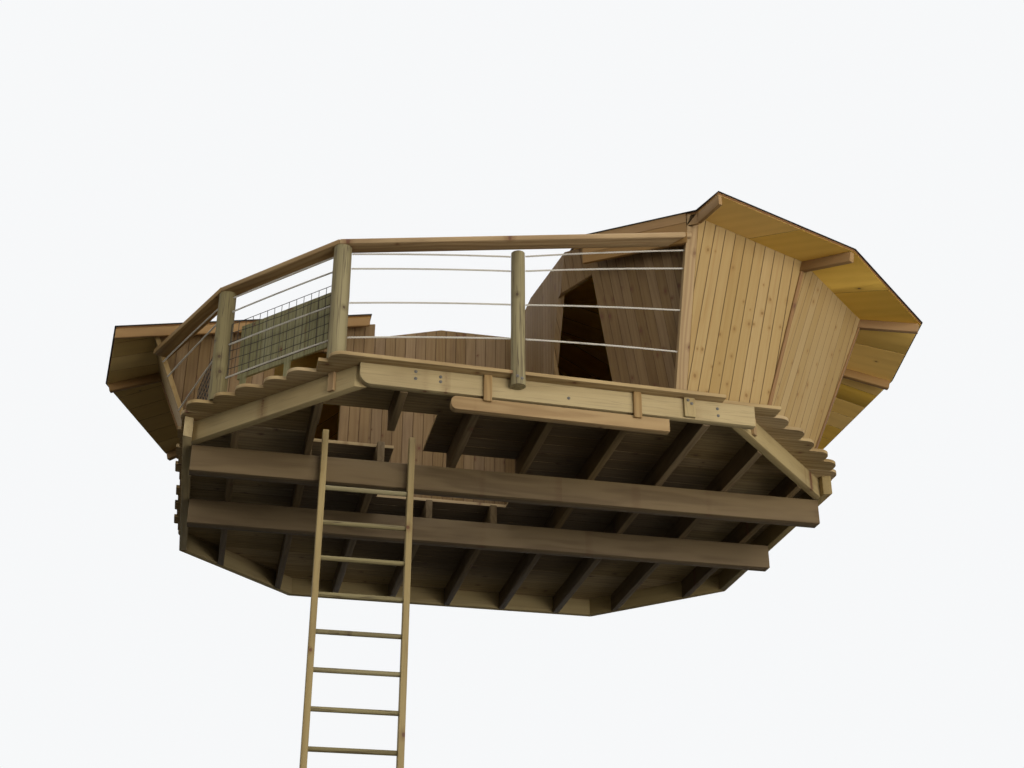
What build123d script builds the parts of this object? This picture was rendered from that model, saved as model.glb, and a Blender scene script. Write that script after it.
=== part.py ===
from build123d import *
from math import atan2, cos, degrees, hypot, radians, sqrt, tan
import os

# Tree house: a low cabin that wraps round the trunk of a tree, with an open terrace in front.
#
# All sizes are in millimetres and +Z is up. The deck is drawn in its own plan first: X runs along the
# front edge, Y runs back from that edge and Z is measured from the top of the floor. Every piece is then
# moved so that the origin lies on the flat face of the front trunk beam that bears on the tree.

# Deck plan
front_half = 1660.0
deck_half = 2820.0
deck_depth = 5068.0
side_start = deck_half - front_half
board_width = 181.0
board_thick = 28.0
board_overhang = 45.0
front_board_end = 1350.0
front_board_out = 92.0
front_left_out = 100.0
front_right_out = 20.0

# Framing under the floor
joist_width = 60.0
joist_depth = 180.0
joist_pitch = 600.0
joist_shift = 30.0
joist_clear = 10.0
rim_width = 70.0
rim_depth = 172.0
front_beam_left = -1515.0
front_beam_right = 1620.0
corner_beam_inset = 165.0
front_beam_round = 90.0
lower_beam_depth = 105.0
lower_beam_left = -820.0
lower_beam_right = 900.0
lower_beam_gap = 22.0
lower_beam_round = 42.0
hanger_width = 64.0
hanger_thick = 28.0
hanger_lap = 25.0
left_hanger_x = -545.0
right_hanger_x = 640.0
trunk_beam_width = 120.0
trunk_beam_depth = 220.0
trunk_beam_reach = 2700.0

# The trunk passes through the deck here
trunk_x = -450.0
trunk_dia = 1050.0
trunk_clear = 75.0
trunk_front = 8 * board_width
hatch_front = 4 * board_width

# Railing
post_dia = 148.0
middle_post_dia = 118.0
post_inset = 58.0
middle_post_x = -320.0
post_foot_lift = 82.0
rail_height = 985.0
rail_rise = 140.0
rail_width = 150.0
rail_thick = 45.0
rope_dia = 16.0
rope_sink = 3.0
rope_shares = (0.2, 0.506, 0.815, 0.95)
rope_mid_lift = 98.0
rope_end_lift = 120.0
net_strand = 5.0
net_mesh = 100.0
screen_thick = 22.0
screen_low = 200.0
screen_high = 690.0
screen_foot = 60.0
screen_clear = 4.0
screen_start = 0.06
screen_end = 0.74

# Cabin
wall_lean = 22.5
wall_thick = 40.0
roof_slope = 15.0
eave_reach = 980.0
eave_over_rail = 100.0
front_eave_lift = 110.0
roof_thick = 20.0
verge_board_thick = 28.0
verge_board_depth = 90.0
skin_thick = 6.0
skin_reach = 12.0
rafter_width = 50.0
rafter_depth = 85.0
rafter_inset = 30.0
rafter_inner_reach = 300.0
rafter_lap = 2.0
door_width = 640.0
door_height = 1360.0
cabin_post_width = 90.0
cabin_post_depth = 62.0
post_block_left = 28.0
post_block_right = 62.0
post_block_gap = 8.0
gable_past_foot = 700.0

# Inner walls and the openings round the trunk
inner_right = 290.0
inner_left = -1150.0
inner_rear = 2760.0
roof_hole_margin = 60.0
right_gable_end = (290.0, 1560.0)
left_gable_end = (-1150.0, 2560.0)
left_gable_setback = 80.0
right_verge_start = (1000.0, -620.0)
right_verge_end_y = 400.0
left_eave_end = (-3480.0, 2000.0)
left_verge_end_y = 2360.0
gable_door_start = 700.0
left_door_start = 600.0

# Ladder from the ground to the hatch in the terrace
ground_level = -6500.0
ladder_left = -1640.0
ladder_width = 720.0
stile_width = 80.0
stile_depth = 50.0
rung_dia = 40.0
rung_pitch = 300.0
hatch_left = -1740.0
hatch_right = -800.0

# Slopes, levels and heights that follow from the sizes above
lean_per_height = tan(radians(wall_lean))
roof_fall = tan(radians(roof_slope))
under_floor = -board_thick
joist_low = under_floor - joist_depth
rim_low = under_floor - rim_depth
trunk_beam_mid = joist_low - trunk_beam_depth / 2
origin = Vector(trunk_x, trunk_front, trunk_beam_mid)
eave_height = rail_height + eave_over_rail
cover_half = 1.5 * deck_half
cover_high = 3 * rail_height
rope_heights = [share * rail_height for share in rope_shares]
net_offset = rope_dia / 2 + net_strand / 2

# Feet of the outer wall, from the front right corner round the back to the left side
wall_feet = [
    (1050.0, 0.0),
    (1800.0, 220.0),
    (2470.0, 830.0),
    (2620.0, 1500.0),
    (2620.0, 2850.0),
    (2200.0, 4000.0),
    (1300.0, 4820.0),
    (-1300.0, 4820.0),
    (-2200.0, 4000.0),
    (-2620.0, 2850.0),
    (-2660.0, 2250.0),
]
wall_names = [
    "front_wall",
    "front_right_wall",
    "right_narrow_wall",
    "right_wall",
    "right_rear_wall",
    "rear_right_wall",
    "rear_wall",
    "rear_left_wall",
    "left_rear_wall",
    "left_wall",
]

# Plan direction in which the free edge of the first and last wall moves as it rises
first_end_lean = (-0.03, -1.05)
last_end_lean = (-1.0, -0.22)

# Board rows and the hole round the trunk
rows = round(deck_depth / board_width)
hatch_first = round(hatch_front / board_width)
trunk_first = round(trunk_front / board_width)
trunk_last = trunk_first + round(trunk_dia / board_width) - 1
hole_left = trunk_x - trunk_dia / 2 - trunk_clear
hole_right = trunk_x + trunk_dia / 2 + trunk_clear
trunk_rear = trunk_front + trunk_dia

# Edge of the deck, an eight-sided ring
ring = [
    (-front_half, -front_left_out),
    (front_half, -front_right_out),
    (deck_half, side_start),
    (deck_half, deck_depth - side_start),
    (front_half, deck_depth),
    (-front_half, deck_depth),
    (-deck_half, deck_depth - side_start),
    (-deck_half, side_start),
]

# The parts of a gable wall
gable_parts = ("beside_post", "beside_trunk", "head")


def export(shape, name):
    """Move a piece from the deck plan to the frame of the part and write it."""
    moved = shape.moved(Location(-origin))
    export_step(moved, f"parts/{name}.step")


def solid_between(lower, upper):
    """Closed solid between two outlines that have the same number of corners."""
    count = len(lower)
    faces = [Face(Wire.make_polygon([Vector(*p) for p in lower], close=True))]
    faces.append(Face(Wire.make_polygon([Vector(*p) for p in upper], close=True)))
    for i in range(count):
        j = (i + 1) % count
        side = [Vector(*lower[i]), Vector(*lower[j]), Vector(*upper[j]), Vector(*upper[i])]
        faces.append(Face(Wire.make_polygon(side, close=True)))
    return Solid(Shell(faces))


def slab(outline, low, high):
    """Level slab from an outline in plan."""
    face = make_face(Polyline(*[(x, y, low) for x, y in outline], close=True))
    return extrude(face, amount=high - low, dir=(0, 0, 1))


def box_at(x0, x1, y0, y1, z0, z1):
    """Box from its low and high corners."""
    return Pos((x0 + x1) / 2, (y0 + y1) / 2, (z0 + z1) / 2) * Box(x1 - x0, y1 - y0, z1 - z0)


def timber(start, end, width, depth, across=(0, 0, 1)):
    """Straight timber of rectangular section; depth lies along the given direction."""
    start = Vector(*start)
    end = Vector(*end)
    along = end - start
    side = along.cross(Vector(*across))
    plane = Plane(origin=start, x_dir=side, z_dir=along)
    return extrude(plane * Rectangle(width, depth), amount=along.length, dir=along.normalized())


def round_bar(start, end, diameter):
    """Straight round bar between two points."""
    start = Vector(*start)
    along = Vector(*end) - start
    plane = Plane(origin=start, z_dir=along)
    return extrude(plane * Circle(diameter / 2), amount=along.length, dir=along.normalized())


def largest(shape):
    """The largest solid of a cut piece."""
    return max(shape.solids(), key=lambda s: s.volume)


def outermost(shape):
    """The solid of a cut rafter that lies farthest from the middle of the deck."""
    middle = Vector(0, deck_depth / 2, 0)
    return max(shape.solids(), key=lambda s: (s.center() - middle).length)


# Outer walls and gables

def side_normal(i):
    """Outward direction of wall i in plan."""
    ax, ay = wall_feet[i]
    bx, by = wall_feet[i + 1]
    length = hypot(bx - ax, by - ay)
    return (by - ay) / length, -(bx - ax) / length


def end_lean(direction, normal):
    """Movement of a wall's free edge, scaled so that the wall keeps its own lean."""
    scale = direction[0] * normal[0] + direction[1] * normal[1]
    return direction[0] / scale, direction[1] / scale


def corner_lean(i):
    """Plan movement of corner i for each unit that the walls move outward."""
    if i == 0:
        return end_lean(first_end_lean, side_normal(0))
    if i == len(wall_feet) - 1:
        return end_lean(last_end_lean, side_normal(i - 1))
    ax, ay = side_normal(i - 1)
    bx, by = side_normal(i)
    scale = 1 + ax * bx + ay * by
    return (ax + bx) / scale, (ay + by) / scale


def corner_at(i, offset):
    """Corner i of the wall line moved outward by an offset."""
    x, y = wall_feet[i]
    dx, dy = corner_lean(i)
    return x + dx * offset, y + dy * offset


def plain_height(i, x, y):
    """Height of the roof's underside over facet i, where its eave is level."""
    nx, ny = side_normal(i)
    ax, ay = wall_feet[i]
    inward = eave_reach - ((x - ax) * nx + (y - ay) * ny)
    return eave_height + roof_fall * inward


def roof_height(i, x, y):
    """Height of the roof's underside over facet i; the first facet rises toward the terrace."""
    if i > 0:
        return plain_height(i, x, y)
    hip_x, hip_y = corner_at(1, eave_reach)
    dir_x, dir_y = corner_lean(1)
    end_x, end_y = corner_at(0, eave_reach)
    from_hip = (x - hip_x) * dir_y - (y - hip_y) * dir_x
    end_from_hip = (end_x - hip_x) * dir_y - (end_y - hip_y) * dir_x
    return plain_height(0, x, y) + front_eave_lift * from_hip / end_from_hip


def wall_top(i, corner, inset):
    """Point where the edge of wall i at a corner meets the roof's underside."""

    def gap(height):
        """Room between a point of the edge and the roof."""
        x, y = corner_at(corner, height * lean_per_height - inset)
        return roof_height(i, x, y) - height

    high = rail_height * gap(0.0) / (gap(0.0) - gap(rail_height))
    x, y = corner_at(corner, high * lean_per_height - inset)
    return x, y, high


def leaning_wall(i):
    """Board wall that leans outward, with mitred ends and its top cut to the roof."""
    inset = wall_thick / cos(radians(wall_lean))
    edges = ((i, 0.0), (i + 1, 0.0), (i + 1, -inset), (i, -inset))
    lower = [(*corner_at(corner, offset), 0.0) for corner, offset in edges]
    upper = [wall_top(i, corner, -offset) for corner, offset in edges]
    return solid_between(lower, upper)


def gable_wall(foot, end, edge, door_start):
    """Leaning board wall at an open end of the cabin, as the parts beside and over its doorway."""
    fx, fy = foot
    ex, ey = end
    length = hypot(ex - fx, ey - fy)
    dx, dy = (ex - fx) / length, (ey - fy) / length
    inward = (-dy, dx) if dx > dy else (dy, -dx)
    tall = 2.2 * rail_height
    # the lean is square to the foot line and holds the end edge of the outer wall
    out = (edge[0] * -inward[0] + edge[1] * -inward[1]) * lean_per_height
    lean = (-inward[0] * out, -inward[1] * out)

    def point(s, z, depth):
        """Point of the wall at a distance along its foot, a height and a depth inward."""
        return (
            fx + dx * s + lean[0] * z + inward[0] * depth,
            fy + dy * s + lean[1] * z + inward[1] * depth,
            z,
        )

    def panel(s0, s1, z0, z1):
        """Part of the wall between two distances and two heights."""
        corners = ((s0, 0.0), (s1, 0.0), (s1, wall_thick), (s0, wall_thick))
        return solid_between(
            [point(s, z0, d) for s, d in corners],
            [point(s, z1, d) for s, d in corners],
        )

    return (
        panel(-gable_past_foot, door_start, 0.0, tall),
        panel(door_start + door_width, length, 0.0, tall),
        panel(door_start, door_start + door_width, door_height, tall),
    )


# Roof

def roof_plane(i, lift):
    """Plane of roof facet i at a height above the roof's underside, facing up."""
    x, y = corner_at(i, eave_reach)
    here = roof_height(i, x, y)
    step = rail_height
    slope_x = (roof_height(i, x + step, y) - here) / step
    slope_y = (roof_height(i, x, y + step) - here) / step
    return Plane(origin=(x, y, here + lift), z_dir=(-slope_x, -slope_y, 1))


def under_roof(lift):
    """Everything in the plan of the cabin that lies under the roof surface at the given height."""
    middle = deck_depth / 2
    volume = box_at(-cover_half, cover_half, middle - cover_half, middle + cover_half, rim_low, cover_high)
    for i in range(len(wall_names)):
        volume = volume.split(roof_plane(i, lift), keep=Keep.BOTTOM)
    return volume


def roof_outline(extra):
    """Plan of the roof: eaves outside, two open verges, and the opening round the trunk."""
    eaves = [corner_at(i, eave_reach + extra) for i in range(len(wall_feet) - 1)]
    ex, ey = left_eave_end
    kx, ky = right_verge_start
    margin = roof_hole_margin - extra
    return eaves + [
        (ex - extra, ey - extra),
        (inner_left - margin, left_verge_end_y - extra),
        (inner_left - margin, inner_rear + margin),
        (inner_right + margin, inner_rear + margin),
        (inner_right + margin, right_verge_end_y - extra),
        (kx - extra, ky - extra),
    ]


def roof_layer(low, thick, extra):
    """One layer of the roof between two heights above its underside."""
    plan = slab(roof_outline(extra), 0.0, cover_high)
    return (plan & under_roof(low + thick)) - under_roof(low)


def roof_facets():
    """Roof boards as one flat panel for each facet, joined along the hips."""
    whole = slab(roof_outline(0.0), 0.0, cover_high) & under_roof(roof_thick)
    panels = []
    for i in range(len(wall_names)):
        panel = whole.split(roof_plane(i, 0.0), keep=Keep.TOP)
        for other in panels:
            panel = panel - other
        panels.append(largest(panel))
    return panels


def verge_board(points):
    """Board under the roof along a line of plan points, inside the roof's edge."""
    pieces = []
    for (ax, ay), (bx, by) in zip(points, points[1:]):
        length = hypot(bx - ax, by - ay)
        nx, ny = (ay - by) / length * verge_board_thick, (bx - ax) / length * verge_board_thick
        strip = slab([(ax, ay), (bx, by), (bx + nx, by + ny), (ax + nx, ay + ny)], 0.0, cover_high)
        pieces.append((strip & under_roof(0.0)) - under_roof(-verge_board_depth))
    return pieces


def hip_rafter(i):
    """Rafter under the corner line of the roof, from the eave to the top of the walls."""
    ox, oy = corner_at(i, eave_reach - rafter_inset)
    ix, iy = corner_at(i, rafter_inner_reach)
    facet = min(i, len(wall_names) - 1)
    drop = rafter_depth / 2 - rafter_lap
    start = (ox, oy, roof_height(facet, ox, oy) - drop)
    end = (ix, iy, roof_height(facet, ix, iy) - drop)
    return timber(start, end, rafter_width, rafter_depth)


def is_straight(a, b, c):
    """Whether three plan points lie on one line."""
    return abs((b[0] - a[0]) * (c[1] - a[1]) - (b[1] - a[1]) * (c[0] - a[0])) < 1e-6


# Floor and frame

def board_end(row, wobble):
    """Half width of the deck at a board row, with the small step of that board's end."""
    back = (row + 1) * board_width
    front = row * board_width
    middle = (front + back) / 2
    from_end = min(middle, deck_depth - middle)
    half = min(deck_half, front_half + from_end + board_width / 2)
    return half + wobble


def floor_strip(first, last, left=None, right=None):
    """Rows of floorboards as one slab whose ends step with the boards."""
    steps_left = (-18.0, 12.0, -6.0, 20.0, 0.0, 24.0, -12.0)
    steps_right = (10.0, -14.0, 16.0, 0.0, 22.0, -8.0, 6.0)
    east = []
    west = []
    for row in range(first, last + 1):
        y0 = row * board_width
        y1 = y0 + board_width
        xr = right if right is not None else board_end(row, steps_right[row % 7])
        xl = left if left is not None else -board_end(row, steps_left[row % 7])
        east += [(xr, y0), (xr, y1)]
        west += [(xl, y0), (xl, y1)]
    outline = []
    for point in east + west[::-1]:
        if len(outline) > 1 and is_straight(outline[-2], outline[-1], point):
            outline[-1] = point
        else:
            outline.append(point)
    return slab(outline, under_floor, 0.0)


def ring_point(i, inset):
    """Corner i of the deck's edge moved inward."""
    px, py = ring[i - 1]
    x, y = ring[i]
    qx, qy = ring[(i + 1) % len(ring)]
    a = hypot(x - px, y - py)
    b = hypot(qx - x, qy - y)
    ax, ay = -(y - py) / a, (x - px) / a
    bx, by = -(qy - y) / b, (qx - x) / b
    scale = 1 + ax * bx + ay * by
    return x + (ax + bx) / scale * inset, y + (ay + by) / scale * inset


def edge_band(i, near, far):
    """Strip in plan along side i of the deck, between two distances in from its edge."""
    (ax, ay), (bx, by) = ring[i], ring[(i + 1) % len(ring)]
    length = hypot(bx - ax, by - ay)
    dx, dy = (bx - ax) / length, (by - ay) / length
    past = side_start
    return [
        (ax - dx * past - dy * near, ay - dy * past + dx * near),
        (bx + dx * past - dy * near, by + dy * past + dx * near),
        (bx + dx * past - dy * far, by + dy * past + dx * far),
        (ax - dx * past - dy * far, ay - dy * past + dx * far),
    ]


def front_corner_beam(i):
    """Beam under cut corner i, set well back from the board ends and butted between its neighbours."""
    band = slab(edge_band(i, corner_beam_inset, corner_beam_inset + rim_width), rim_low, under_floor)
    return band & inside


def rim_beam(i):
    """Rim beam along side i of the deck, with mitred ends."""
    outer = board_overhang
    inner = board_overhang + rim_width
    j = (i + 1) % len(ring)
    outline = [ring_point(i, outer), ring_point(j, outer), ring_point(j, inner), ring_point(i, inner)]
    return slab(outline, rim_low, under_floor)


# Posts and railing

def front_face(x):
    """Y of the front beam's outer face; the beam stands a little askew to the boards."""
    (ax, ay), (bx, by) = ring_point(0, board_overhang), ring_point(1, board_overhang)
    return ay + (by - ay) * (x - ax) / (bx - ax)


def on_front(west, east, out, back, low, high):
    """Block between two x places, from a distance out of the front beam's face to a distance behind it."""
    outline = [
        (west, front_face(west) - out),
        (east, front_face(east) - out),
        (east, front_face(east) + back),
        (west, front_face(west) + back),
    ]
    return slab(outline, low, high)


def pole(x, y, low, high, diameter):
    """Upright round pole."""
    return Pos(x, y, (low + high) / 2) * Cylinder(diameter / 2, high - low)


def along_left_corner(t):
    """Point along the cut left corner of the deck, set in from the edge."""
    ax, ay = ring_point(0, post_inset)
    bx, by = ring_point(7, post_inset)
    return ax + t * (bx - ax), ay + t * (by - ay)


def cabin_post_section(z):
    """Corners of the cabin post at a height."""
    x = foot_x + post_lean[0] * z
    y = foot_y + post_lean[1] * z
    back = y + cabin_post_depth
    return [(x - cabin_post_width, y, z), (x, y, z), (x, back, z), (x - cabin_post_width, back, z)]


def plank(start, end, start_turn, end_turn):
    """Handrail plank between two points, its ends turned to meet its neighbours."""
    length = hypot(end[0] - start[0], end[1] - start[1])
    dx, dy = (end[0] - start[0]) / length, (end[1] - start[1]) / length
    slope = (end[2] - start[2]) / length
    half = rail_width / 2
    lower = []
    for (x, y, z), turn, sides in ((start, start_turn, (-half, half)), (end, end_turn, (half, -half))):
        for side in sides:
            shift = side * tan(radians(turn))
            lower.append((x - dy * side + dx * shift, y + dx * side + dy * shift, z + slope * shift))
    upper = [(x, y, z + rail_thick) for x, y, z in lower]
    return solid_between(lower, upper)


def heading(a, b):
    """Direction in degrees from one plan point to another."""
    return degrees(atan2(b[1] - a[1], b[0] - a[0]))


def post_gap(a, b, gap_a, gap_b):
    """Points at a distance from the axes of two uprights, on the line between them."""
    a = Vector(*a)
    b = Vector(*b)
    along = (b - a).normalized()
    return a + along * gap_a, b - along * gap_b


def rail_lines(height):
    """End points of one rope in each bay of the railing."""
    corner = (corner_x, corner_y, height)
    left = (left_x, left_y, height)
    middle = (middle_post_x, middle_y, height + rope_mid_lift)
    high = height + rope_end_lift
    jamb_x = foot_x - cabin_post_width + post_lean[0] * high
    jamb_y = foot_y + cabin_post_depth / 2 + post_lean[1] * high
    jamb = (jamb_x, jamb_y, high)
    far = (
        wall_feet[-1][0] + wall_end[0] * lean_per_height * height,
        wall_feet[-1][1] + wall_end[1] * lean_per_height * height,
        height,
    )
    half = post_dia / 2 - rope_sink
    slim = middle_post_dia / 2 - rope_sink
    return (
        post_gap(far, left, 0.0, half),
        post_gap(left, corner, half, half),
        post_gap(corner, middle, half, slim),
        post_gap(middle, jamb, slim, 0.0),
    )


def between_posts(a, b, gap):
    """Two plan points moved toward each other."""
    length = hypot(b[0] - a[0], b[1] - a[1])
    dx, dy = (b[0] - a[0]) / length * gap, (b[1] - a[1]) / length * gap
    return (a[0] + dx, a[1] + dy), (b[0] - dx, b[1] - dy)


# Nets

def net(start, end, low, high):
    """Flat square net between two plan points and two heights."""
    sx, sy = start
    ex, ey = end
    length = hypot(ex - sx, ey - sy)
    plane = Plane(origin=(sx, sy, 0), x_dir=(ex - sx, ey - sy, 0), z_dir=(ey - sy, sx - ex, 0))
    plane = plane.offset(-net_offset)
    columns = int(length / net_mesh)
    levels = int((high - low) / net_mesh)
    pitch_x = length / columns
    pitch_z = (high - low) / levels
    bars = Pos(length / 2, low) * Rectangle(length, net_strand)
    for k in range(1, levels + 1):
        bars += Pos(length / 2, low + k * pitch_z) * Rectangle(length, net_strand)
    for k in range(columns + 1):
        x = min(max(k * pitch_x, net_strand / 2), length - net_strand / 2)
        bars += Pos(x, (low + high) / 2) * Rectangle(net_strand, high - low + net_strand)
    return extrude(plane * bars, amount=net_strand / 2, both=True)


os.makedirs("parts", exist_ok=True)

# Floor in strips round the hatch and the trunk; a tapered board leads along the front beam
front_strip = floor_strip(0, hatch_first - 1)
front_left = -front_half - board_width / 2
front_cut = on_front(front_board_end, deck_half, board_width, 0.0, under_floor - 1, 1)
front_board = on_front(front_left, front_board_end, front_board_out, board_width, under_floor, 0.0)
front_floor = (front_strip - front_cut) + front_board
export(floor_strip(hatch_first, trunk_first - 1, right=hatch_left), "floor_left_of_hatch")
export(floor_strip(hatch_first, trunk_first - 1, left=hatch_right), "floor_right_of_hatch")
export(floor_strip(trunk_first, trunk_last, right=hole_left), "floor_left_of_trunk")
export(floor_strip(trunk_first, trunk_last, left=hole_right), "floor_right_of_trunk")
export(floor_strip(trunk_last + 1, rows - 1), "floor_rear")

# Rim beams under the edge of the floor
inside = slab([ring_point(i, board_overhang + rim_width) for i in range(len(ring))], joist_low, under_floor)
export(front_corner_beam(1), "right_corner_beam")
export(rim_beam(2), "right_rim_beam")
export(Compound(children=[rim_beam(3), rim_beam(5)]), "rear_corner_beams")
export(rim_beam(4), "rear_rim_beam")
export(rim_beam(6), "left_rim_beam")
export(front_corner_beam(7), "left_corner_beam")

# Front rim beam: the corner beams butt on its back, and its left end is rounded below
front_beam = on_front(front_beam_left, front_beam_right, 0.0, rim_width, rim_low, under_floor)
nose = front_beam.edges().filter_by(Axis.Y).group_by(Axis.X)[0].sort_by(Axis.Z)[0]
front_beam = fillet(nose, front_beam_round)
export(front_beam, "front_rim_beam")

# Lower beam hung under the front rim beam
lower_top = rim_low - lower_beam_gap
lower_low = lower_top - lower_beam_depth
lower_beam = on_front(lower_beam_left, lower_beam_right, 0.0, rim_width, lower_low, lower_top)
nose = lower_beam.edges().filter_by(Axis.Y).group_by(Axis.X)[0]
lower_beam = fillet(nose, lower_beam_round)
export(lower_beam, "lower_front_beam")

# Hangers that carry the lower beam from the rim beam
hangers = []
for x in (left_hanger_x, right_hanger_x):
    west = x - hanger_width / 2
    east = x + hanger_width / 2
    hangers.append(on_front(west, east, hanger_thick, 0.0, lower_top - hanger_lap, under_floor))
export(Compound(children=hangers), "beam_hangers")

# Two beams clasp the trunk; the joists cross them
front_trunk_beam = box_at(
    -trunk_beam_reach, trunk_beam_reach, trunk_front - trunk_beam_width, trunk_front,
    joist_low - trunk_beam_depth, joist_low,
)
rear_trunk_beam = box_at(
    -trunk_beam_reach, trunk_beam_reach, trunk_rear, trunk_rear + trunk_beam_width,
    joist_low - trunk_beam_depth, joist_low,
)
export(front_trunk_beam, "front_trunk_beam")
export(rear_trunk_beam, "rear_trunk_beam")

# Joists between the front and rear rim beams, trimmed where the trunk and the hatch pass
joists = []
corner_bands = [
    slab(edge_band(i, 0.0, corner_beam_inset + rim_width), joist_low - 1, 0)
    for i in (1, 7)
]
trunk_gap = box_at(
    hole_left - joist_clear, hole_right + joist_clear, trunk_front, trunk_rear,
    joist_low - 1, 0,
)
hatch_gap = box_at(
    hatch_left - joist_clear, hatch_right + joist_clear, hatch_front, trunk_front - trunk_beam_width,
    joist_low - 1, 0,
)
for k in range(-4, 5):
    x = k * joist_pitch + joist_shift
    strip = box_at(
        x - joist_width / 2, x + joist_width / 2, -board_width, deck_depth + board_width,
        joist_low, under_floor,
    )
    joist = (strip & inside) - trunk_gap - hatch_gap - corner_bands[0] - corner_bands[1]
    joists += list(joist.solids())
export(Compound(children=joists), "joists")

# Railing posts: plain round poles
corner_x, corner_y = along_left_corner(0.05)
left_x, left_y = along_left_corner(0.8)
middle_y = front_face(middle_post_x) - middle_post_dia / 2
middle_high = rail_height + rail_rise * 0.55
corner_post = pole(corner_x, corner_y, 0, rail_height, post_dia)
left_post = pole(left_x, left_y, 0, rail_height, post_dia)
middle_post = pole(middle_post_x, middle_y, rim_low + post_foot_lift, middle_high, middle_post_dia)
middle_post = middle_post - on_front(-front_half, front_half, 0.0, side_start, rim_low - 1, 1)

# Cabin post: carries the free edge of the front wall and leans with it
post_lean = [share * lean_per_height for share in corner_lean(0)]
foot_x, foot_y = wall_feet[0]
cabin_post = solid_between(cabin_post_section(0.0), cabin_post_section(2 * rail_height)) & under_roof(0.0)

# Block on the face of the front beam under the cabin post
post_block = on_front(
    foot_x - post_block_left, foot_x + post_block_right, hanger_thick, 0.0,
    rim_low + post_block_gap, under_floor,
)
export(post_block, "cabin_post_block")

# Outer walls
walls = [leaning_wall(i) for i in range(len(wall_names))]

# Gable walls at the two open ends
cover = under_roof(0.0)
inner_keep = box_at(inner_left, inner_right, -deck_half, inner_rear, under_floor, cover_high)
right_foot = (foot_x - cabin_post_width / 4, foot_y + cabin_post_depth)
left_foot = (wall_feet[-1][0], wall_feet[-1][1] + left_gable_setback)
right_gable = gable_wall(right_foot, right_gable_end, corner_lean(0), gable_door_start)
left_gable = gable_wall(left_foot, left_gable_end, corner_lean(len(wall_feet) - 1), left_door_start)
right_gable = [(piece & cover) - walls[0] - cabin_post - inner_keep for piece in right_gable]
left_gable = [(piece & cover) - walls[-1] for piece in left_gable]
for part_name, piece in zip(gable_parts, right_gable):
    export(largest(piece), f"right_gable_{part_name}")
for part_name, piece in zip(gable_parts, left_gable):
    export(largest(piece), f"left_gable_{part_name}")

# Inner walls round the trunk
inner_right_wall = box_at(
    inner_right, inner_right + wall_thick, right_gable_end[1] + wall_thick, inner_rear + wall_thick,
    0, cover_high,
) & cover
inner_rear_wall = box_at(inner_left, inner_right, inner_rear, inner_rear + wall_thick, 0, cover_high) & cover
inner_left_wall = box_at(
    inner_left - wall_thick, inner_left, left_gable_end[1] + wall_thick, inner_rear + wall_thick,
    0, cover_high,
) & cover
for piece in right_gable:
    inner_right_wall = inner_right_wall - piece
for piece in left_gable:
    inner_left_wall = inner_left_wall - piece
export(largest(inner_right_wall), "inner_right_wall")
export(largest(inner_rear_wall), "inner_rear_wall")
export(largest(inner_left_wall), "inner_left_wall")

# Roof boards with a thin waterproof layer on them
roof = Compound(children=roof_facets())
skin = roof_layer(roof_thick, skin_thick, skin_reach)
export(roof, "roof_boards")
export(skin, "roof_skin")

# Verge boards hang under the open edges of the roof
outline = roof_outline(0.0)
eave_end = outline[len(wall_feet) - 1]
left_inner = outline[len(wall_feet)]
right_inner = outline[-2]
right_turn = outline[-1]
front_end = outline[0]
left_verge = verge_board([eave_end, left_inner])[0]
inner_verge, front_verge = verge_board([right_inner, right_turn, front_end])
front_verge = front_verge - cabin_post - walls[0] - inner_verge
inner_verge = inner_verge - cabin_post - walls[0]
left_verge = left_verge - walls[-1]
for piece in right_gable:
    inner_verge = inner_verge - piece
    front_verge = front_verge - piece
for piece in left_gable:
    left_verge = left_verge - piece
export(largest(left_verge), "left_verge_board")
export(largest(inner_verge), "right_verge_board")
export(largest(front_verge), "front_verge_board")

# Hip rafters show under the eaves: each runs from the wall corner to the eave
rafters = []
for i in range(1, len(wall_feet) - 1):
    rafter = hip_rafter(i)
    rafter = rafter & cover
    for wall in walls:
        rafter = rafter - wall
    rafters.append(outermost(rafter))
export(Compound(children=rafters), "hip_rafters")

# Outer walls and the post at their free edge, whole
for name, wall in zip(wall_names, walls):
    export(wall, name)
export(cabin_post, "cabin_post")

# Handrails: flat planks on the posts, mitred where they meet
jamb_x = foot_x - cabin_post_width / 2 + post_lean[0] * (rail_height + rail_rise)
jamb_y = foot_y + post_lean[1] * (rail_height + rail_rise) + cabin_post_depth / 2
wall_end = corner_lean(len(wall_feet) - 1)
far_x = wall_feet[-1][0] + wall_end[0] * lean_per_height * rail_height
far_y = wall_feet[-1][1] + wall_end[1] * lean_per_height * rail_height
point_far = (far_x, far_y)
point_left = (left_x, left_y)
point_corner = (corner_x, corner_y)
point_jamb = (jamb_x, jamb_y)
turn_left = (heading(point_left, point_corner) - heading(point_far, point_left)) / 2
turn_corner = (heading(point_corner, point_jamb) - heading(point_left, point_corner)) / 2
rail_low_left = (*point_left, rail_height)
rail_low_corner = (*point_corner, rail_height)
rail_low_jamb = (*point_jamb, rail_height + rail_rise)
rail_low_far = (*point_far, rail_height)
left_handrail = plank(rail_low_far, rail_low_left, 0, -turn_left)
corner_handrail = plank(rail_low_left, rail_low_corner, turn_left, -turn_corner)
front_handrail = plank(rail_low_corner, rail_low_jamb, turn_corner, 0)
front_handrail = front_handrail - cabin_post - walls[0]
for piece in right_gable:
    front_handrail = front_handrail - piece
left_handrail = left_handrail - walls[-1]
for piece in left_gable:
    left_handrail = left_handrail - piece
export(largest(left_handrail), "left_handrail")
export(corner_handrail, "corner_handrail")
export(largest(front_handrail), "front_handrail")
corner_post = corner_post - front_handrail
middle_post = middle_post - front_handrail
export(corner_post, "corner_post")
export(left_post, "left_post")
export(largest(middle_post), "middle_post")
export(front_floor - middle_post, "floor_front")

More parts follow.
